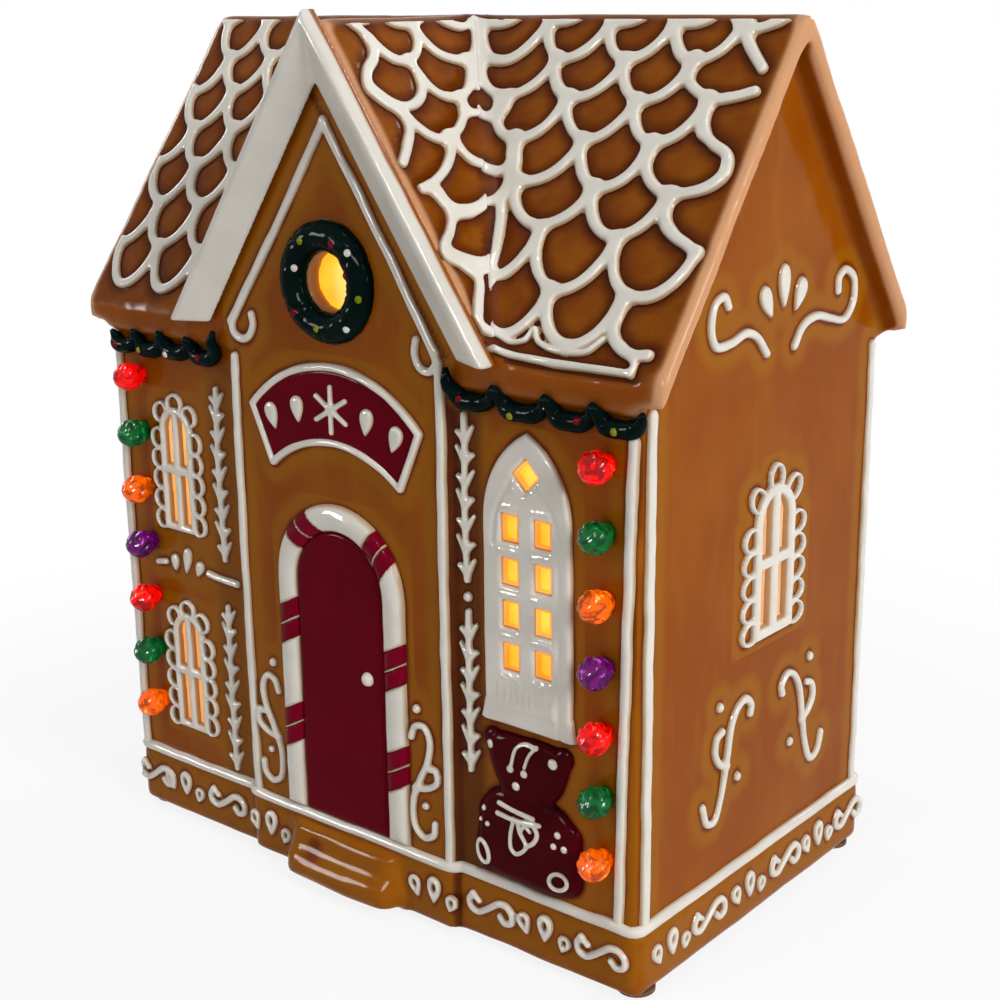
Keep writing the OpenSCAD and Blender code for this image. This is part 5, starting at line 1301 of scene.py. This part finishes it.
def scattered_dots():
    """Dots on the wreath and the garlands."""
    spots = {"olive": [], "berry": [], "icing": []}
    for x, z, key in ((-8.4, 183.3, "olive"), (2.8, 183.3, "berry"), (7.2, 175.7, "berry"),
                      (11.1, 170.1, "olive"), (-11.7, 176.1, "icing"), (-11.8, 164.5, "berry"),
                      (-3.7, 161.1, "olive"), (6.5, 162.1, "icing"), (8, 181.4, "icing")):
        reach = math.hypot(x - BAY_X, z - WREATH_Z)
        lift = WREATH_T * math.sqrt(max(0, 1 - ((reach - WREATH_R) / 4.3) ** 2))
        spots[key].append((x, -BAY_Y - lift + 0.5, z, 1.1))
    for x, z, key in ((42, 148.4, "berry"), (58, 146.4, "olive"), (68.4, 150.4, "icing"), (78, 148, "berry"),
                      (88.6, 147, "olive"), (-89.6, 146.7, "berry"), (-79.2, 146.2, "olive"),
                      (-67.6, 146.4, "icing"), (-54, 147, "berry")):
        spots[key].append((x, -WALL_Y - 3.6, z, 1.0))
    for key, found in spots.items():
        dots(key, found)


# Pieces made of raised drawings. Each part is canvas, panel, height and what relief() takes after it

def relief_piece(name, key, node, *parts):
    build = Build()
    for canvas, panel, height, *more in parts:
        build.relief(canvas, panel, height if np.ndim(height) else canvas.bead(height), *more)
    if "roof" in name or "gable" in name:
        build.points = [filleted(q) for q in build.points]
    build.piece(name, key, node)


def netting(canvas, panel):
    """A net is rooted below the sunk glaze."""
    return canvas, panel, canvas.bead(0.95, 0.9), 0.0, 1.4


def framing(canvas, panel):
    """The foot of a window's piping reaches back to the amber sheet."""
    return canvas, panel, canvas.bead(1.5, 1.0), 0.0, 4.3


def window_light(word, node, canvas, panel, film, front):
    """Amber sheet, pressed forward into each opening, with a warm rim of light round each pane."""
    base = -4.5
    pane = np.where(canvas.solid < -0.7, -canvas.d, 1.0)
    for kind, key, height, d, behind in (("glow", film, front - 1.8, pane + 0.12, node),
                                         ("rim", film + "_rim", front, np.maximum(pane, -pane - 0.5), None)):
        build = Build()
        build.relief(canvas, panel, height - base, base, 0.4, d)
        build.piece(f"{word}_window_{kind}", key, behind, smooth=False)


def main():
    net_r, net_l, net_back, gable_r, gable_l = (roof_right(), roof_left(), roof_back(), gable_slope(15),
                                                gable_slope(16))
    front, bay, wall_r, wall_l, back = front_wall(), bay_wall(), side_wall(25), side_wall(26), back_wall()
    band_front = plinth_band(-94, 94, [66.2, -74], [48.6, 84.6, -54.5, -87], 31)
    band_bay = plinth_band(-41.4, 38, [-33.4, 30], [], 32)
    band_side = plinth_band(-57, 57, [-43, -5.5, 32], [-25, 14, 50], 33)
    band_back = plinth_band(-94, 94, [-75.6, -37.8, 0, 37.8, 75.6], [-56.7, -18.9, 18.9, 56.7], 34)
    upper, lower = (lace_window(-69, z, 13.6, 37.6, seed) for z, seed in ((92.5, 43), (29.5, 44)))
    side_r, side_l = (lace_window(3.7, 80, 19.6, 41.5, seed) for seed in (45, 46))
    tall = tall_window()
    band, leaf, stripes = door_face()
    field, border, mark = sign_face()
    bear, bear_mark = bear_face()
    bands = [(band_front, BAND_FRONT), (band_bay, BAND_BAY), (band_side, BAND_RIGHT), (band_side, BAND_LEFT),
             (band_back, BAND_BACK)]
    windows = [(FRONT, upper), (FRONT, lower), (FRONT, tall), (RIGHT, side_r), (LEFT, side_l)]

    for name, node, *parts in (
            ("roof_piping_right", "roof_icing_front_right", netting(net_r, ROOF)),
            ("roof_piping_left", "roof_icing_front_left", netting(net_l, ROOF)),
            ("roof_piping_back", "roof_icing_back", netting(net_back, ROOF_BACK)),
            ("gable_piping_right", "gable_icing_right", netting(gable_r, GABLE_R)),
            ("gable_piping_left", "gable_icing_left", netting(gable_l, GABLE_L)),
            ("front_piping", "front_icing", (front, FRONT, 1.25), (bay, BAY, 1.25)),
            ("side_piping_right", "side_icing_right", (wall_r, RIGHT, 1.25)),
            ("side_piping_left", "side_icing_left", (wall_l, LEFT, 1.25)),
            ("back_piping", "back_icing", (back, BACK, 1.25)),
            ("plinth_piping", "plinth_icing", *((canvas, panel, 1.2) for canvas, panel in bands)),
            ("upper_window_piping", "upper_window_frame", framing(upper, FRONT)),
            ("lower_window_piping", "lower_window_frame", framing(lower, FRONT)),
            ("side_window_piping_right", "side_window_frame_right", framing(side_r, RIGHT)),
            ("side_window_piping_left", "side_window_frame_left", framing(side_l, LEFT)),
            ("tall_window_front", "tall_window_frame", (tall, FRONT, tall.height))):
        relief_piece(name, "icing", node, *parts)

    window_light("tall", "tall_window_film", tall, FRONT, "film", 0.7)
    window_light("upper", "upper_window_film", upper, FRONT, "small_film", -0.7)
    window_light("lower", "lower_window_film", lower, FRONT, "small_film", -0.7)
    window_light("side_right", "side_window_film_right", side_r, RIGHT, "side_film", -0.9)
    window_light("side_left", "side_window_film_left", side_l, LEFT, "side_film", -0.9)

    for name, key, node, *part in (
            ("door_arch", "icing", "door_surround", band, BAY, 2.35, 0.0, 0.5,
             np.maximum(band.d, -stripes.d)),
            ("door_arch_stripes", "stripe", "door_stripes", band, BAY, 2.35, 0.0, 0.5,
             np.maximum(band.d, stripes.d)),
            ("door_leaf", "maroon", "door_panel", leaf, BAY, 1.15),
            ("sign_field", "maroon", "sign_plaque", field, BAY, 0.95),
            ("sign_edge", "icing", "sign_border", border, BAY, 1.6),
            ("sign_piping", "icing", "sign_ornament", mark, BAY, 0.9, 0.9),
            ("bear_figure", "bear", "bear", bear, FRONT, bear.height),
            ("bear_piping", "icing", "bear_icing", bear_mark, FRONT, 0.75, bear.height - 0.1)):
        relief_piece(name, key, node, part)

    garland("left", [(-91.6, 150.6), (-81, 151.8), (-69.6, 152.6), (-57.8, 152.2), (-45.8, 155.4)],
            [146.4, 146.3, 146.9, 146.6], 81)
    garland("right", [(38.6, 156), (53.8, 153.2), (69.4, 153), (83.2, 153), (97.2, 152.4)],
            [147.6, 147, 147, 147.2], 82)
    soft_shell([(ROOF, net_r), (ROOF, net_l), (ROOF_BACK, net_back), (GABLE_R, gable_r), (GABLE_L, gable_l),
                (FRONT, front), (BAY, bay), (RIGHT, wall_r), (LEFT, wall_l), (BACK, back), *windows,
                (BAY, band), (BAY, border), (FRONT, bear)] + [(panel, canvas) for canvas, panel in bands],
               windows)
    wreath()
    base_line()
    knob()
    bargeboards()
    for side, word in ((-1, "left"), (1, "right")):
        for k, colour in enumerate(("orange", "green", "red", "purple", "orange", "green", "red")):
            bulb(f"bulb_{word}_{k + 1}", side, k, colour)
    scattered_dots()


main()

# CAD pieces that show as they are get their own finish
FINISH = {
    "light_tray": "ivory", "battery_door": "ivory", "power_switch": "black", "batteries": "jacket",
    "contact_plates": "metal", "contact_springs": "metal", "circuit_board": "board", "led_lamps": "lens",
    "lamp_leads": "lead", "felt_pads": "felt", "round_window_film": "film",
}
for node, key in FINISH.items():
    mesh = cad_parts[node].data
    mesh.materials.clear()
    mesh.materials.append(M[key])


# Studio

def pale_floor():
    """White to the eye, shaded only near the house where its shadow lies, and clear from below."""
    t = Tree("pale_floor")
    cloud = t.mix(t.noise(3, 2, 0.5), (0.8, 0.8, 0.8), (0.83, 0.83, 0.83))
    base = t.node("ShaderNodeBsdfDiffuse", Color=cloud).outputs[0]
    glow = t.node("ShaderNodeEmission", Color=(1, 1, 1, 1), Strength=1.0).outputs[0]
    reach = t.node("ShaderNodeVectorMath", {"operation": "LENGTH"}, _0=t.place()).outputs["Value"]
    share = t.math("MULTIPLY", t.seen(), t.steps(reach, 0.14, 0.34, 0.86, 1.0))
    clear = t.node("ShaderNodeBsdfTransparent").outputs[0]
    below = t.node("ShaderNodeNewGeometry").outputs["Backfacing"]
    return t.output(t.shaders(below, t.shaders(share, base, glow), clear))


def floor(size, z):
    mesh = bpy.data.meshes.new("floor")
    s = size / 2
    mesh.from_pydata([(-s, -s, z), (s, -s, z), (s, s, z), (-s, s, z)], [], [(0, 1, 2, 3)])
    obj = bpy.data.objects.new("floor", mesh)
    bpy.context.scene.collection.objects.link(obj)
    mesh.materials.append(pale_floor())


def studio_world():
    """White behind the object and in its reflections, and a plain level of light on it."""
    t = Tree("studio", bpy.data.worlds)
    level = t.node("ShaderNodeMapRange", Value=t.seen(), To_Min=0.2).outputs[0]
    back = t.node("ShaderNodeBackground", Color=(1, 1, 1, 1), Strength=level)
    bpy.context.scene.world = t.output(back.outputs[0], "World")


def lamp(name, at, size, power, shape=(1.0, 1.0), only_glints=False):
    """An area lamp aimed at the middle of the house. With only_glints it gives highlights and no light."""
    data = bpy.data.lights.new(name, "AREA")
    data.shape = "RECTANGLE"
    data.size, data.size_y = size * shape[0], size * shape[1]
    data.energy = power
    obj = bpy.data.objects.new(name, data)
    obj.location = at
    obj.rotation_euler = (Vector((0, 0, 0.12)) - Vector(at)).to_track_quat("-Z", "Y").to_euler()
    obj.visible_diffuse = not only_glints
    bpy.context.scene.collection.objects.link(obj)


floor(24, -0.0002)
studio_world()
lamp("key_right", (1.35, -0.25, 0.75), 0.5, 14)
lamp("fill_front", (-0.6, -1.5, 0.7), 0.5, 1.9)
lamp("soft_front", (0.1, -1.4, 1.0), 0.3, 1.1)
lamp("top", (0.1, -0.2, 1.5), 0.12, 4, (2.0, 1.0))
lamp("left", (-1.5, 0.1, 0.8), 0.4, 5)
lamp("rear", (0.2, 1.5, 0.9), 0.4, 6)
lamp("glint_front", (0.5, -1.25, 0.9), 0.36, 26, only_glints=True)
lamp("glint_low", (-1.0, -1.1, 0.4), 0.36, 24, only_glints=True)
lamp("glint_right", (1.5, 0.1, 0.7), 0.4, 14, (1.0, 0.5), only_glints=True)

# Camera, from the photograph's fitted view
azimuth, elevation, roll = (math.radians(a) for a in (39.479, 16.345, -0.700))
view_back = Vector((math.sin(azimuth) * math.cos(elevation), -math.cos(azimuth) * math.cos(elevation),
                    math.sin(elevation)))
view_right = Vector((math.cos(azimuth), math.sin(azimuth), 0))
view_up = view_back.cross(view_right)
tilted_right = view_right * math.cos(roll) + view_up * math.sin(roll)
tilted_up = view_up * math.cos(roll) - view_right * math.sin(roll)
data = bpy.data.cameras.new("camera")
data.sensor_width = 36
data.lens = 61.925
data.clip_start, data.clip_end = 0.01, 50
camera = bpy.data.objects.new("camera", data)
bpy.context.scene.collection.objects.link(camera)
turn = Matrix((tilted_right, tilted_up, view_back)).transposed()
camera.matrix_world = Matrix.Translation((0.31059, -0.36664, 0.24410)) @ turn.to_4x4()
bpy.context.scene.camera = camera
bpy.context.scene.view_settings.view_transform = "Standard"
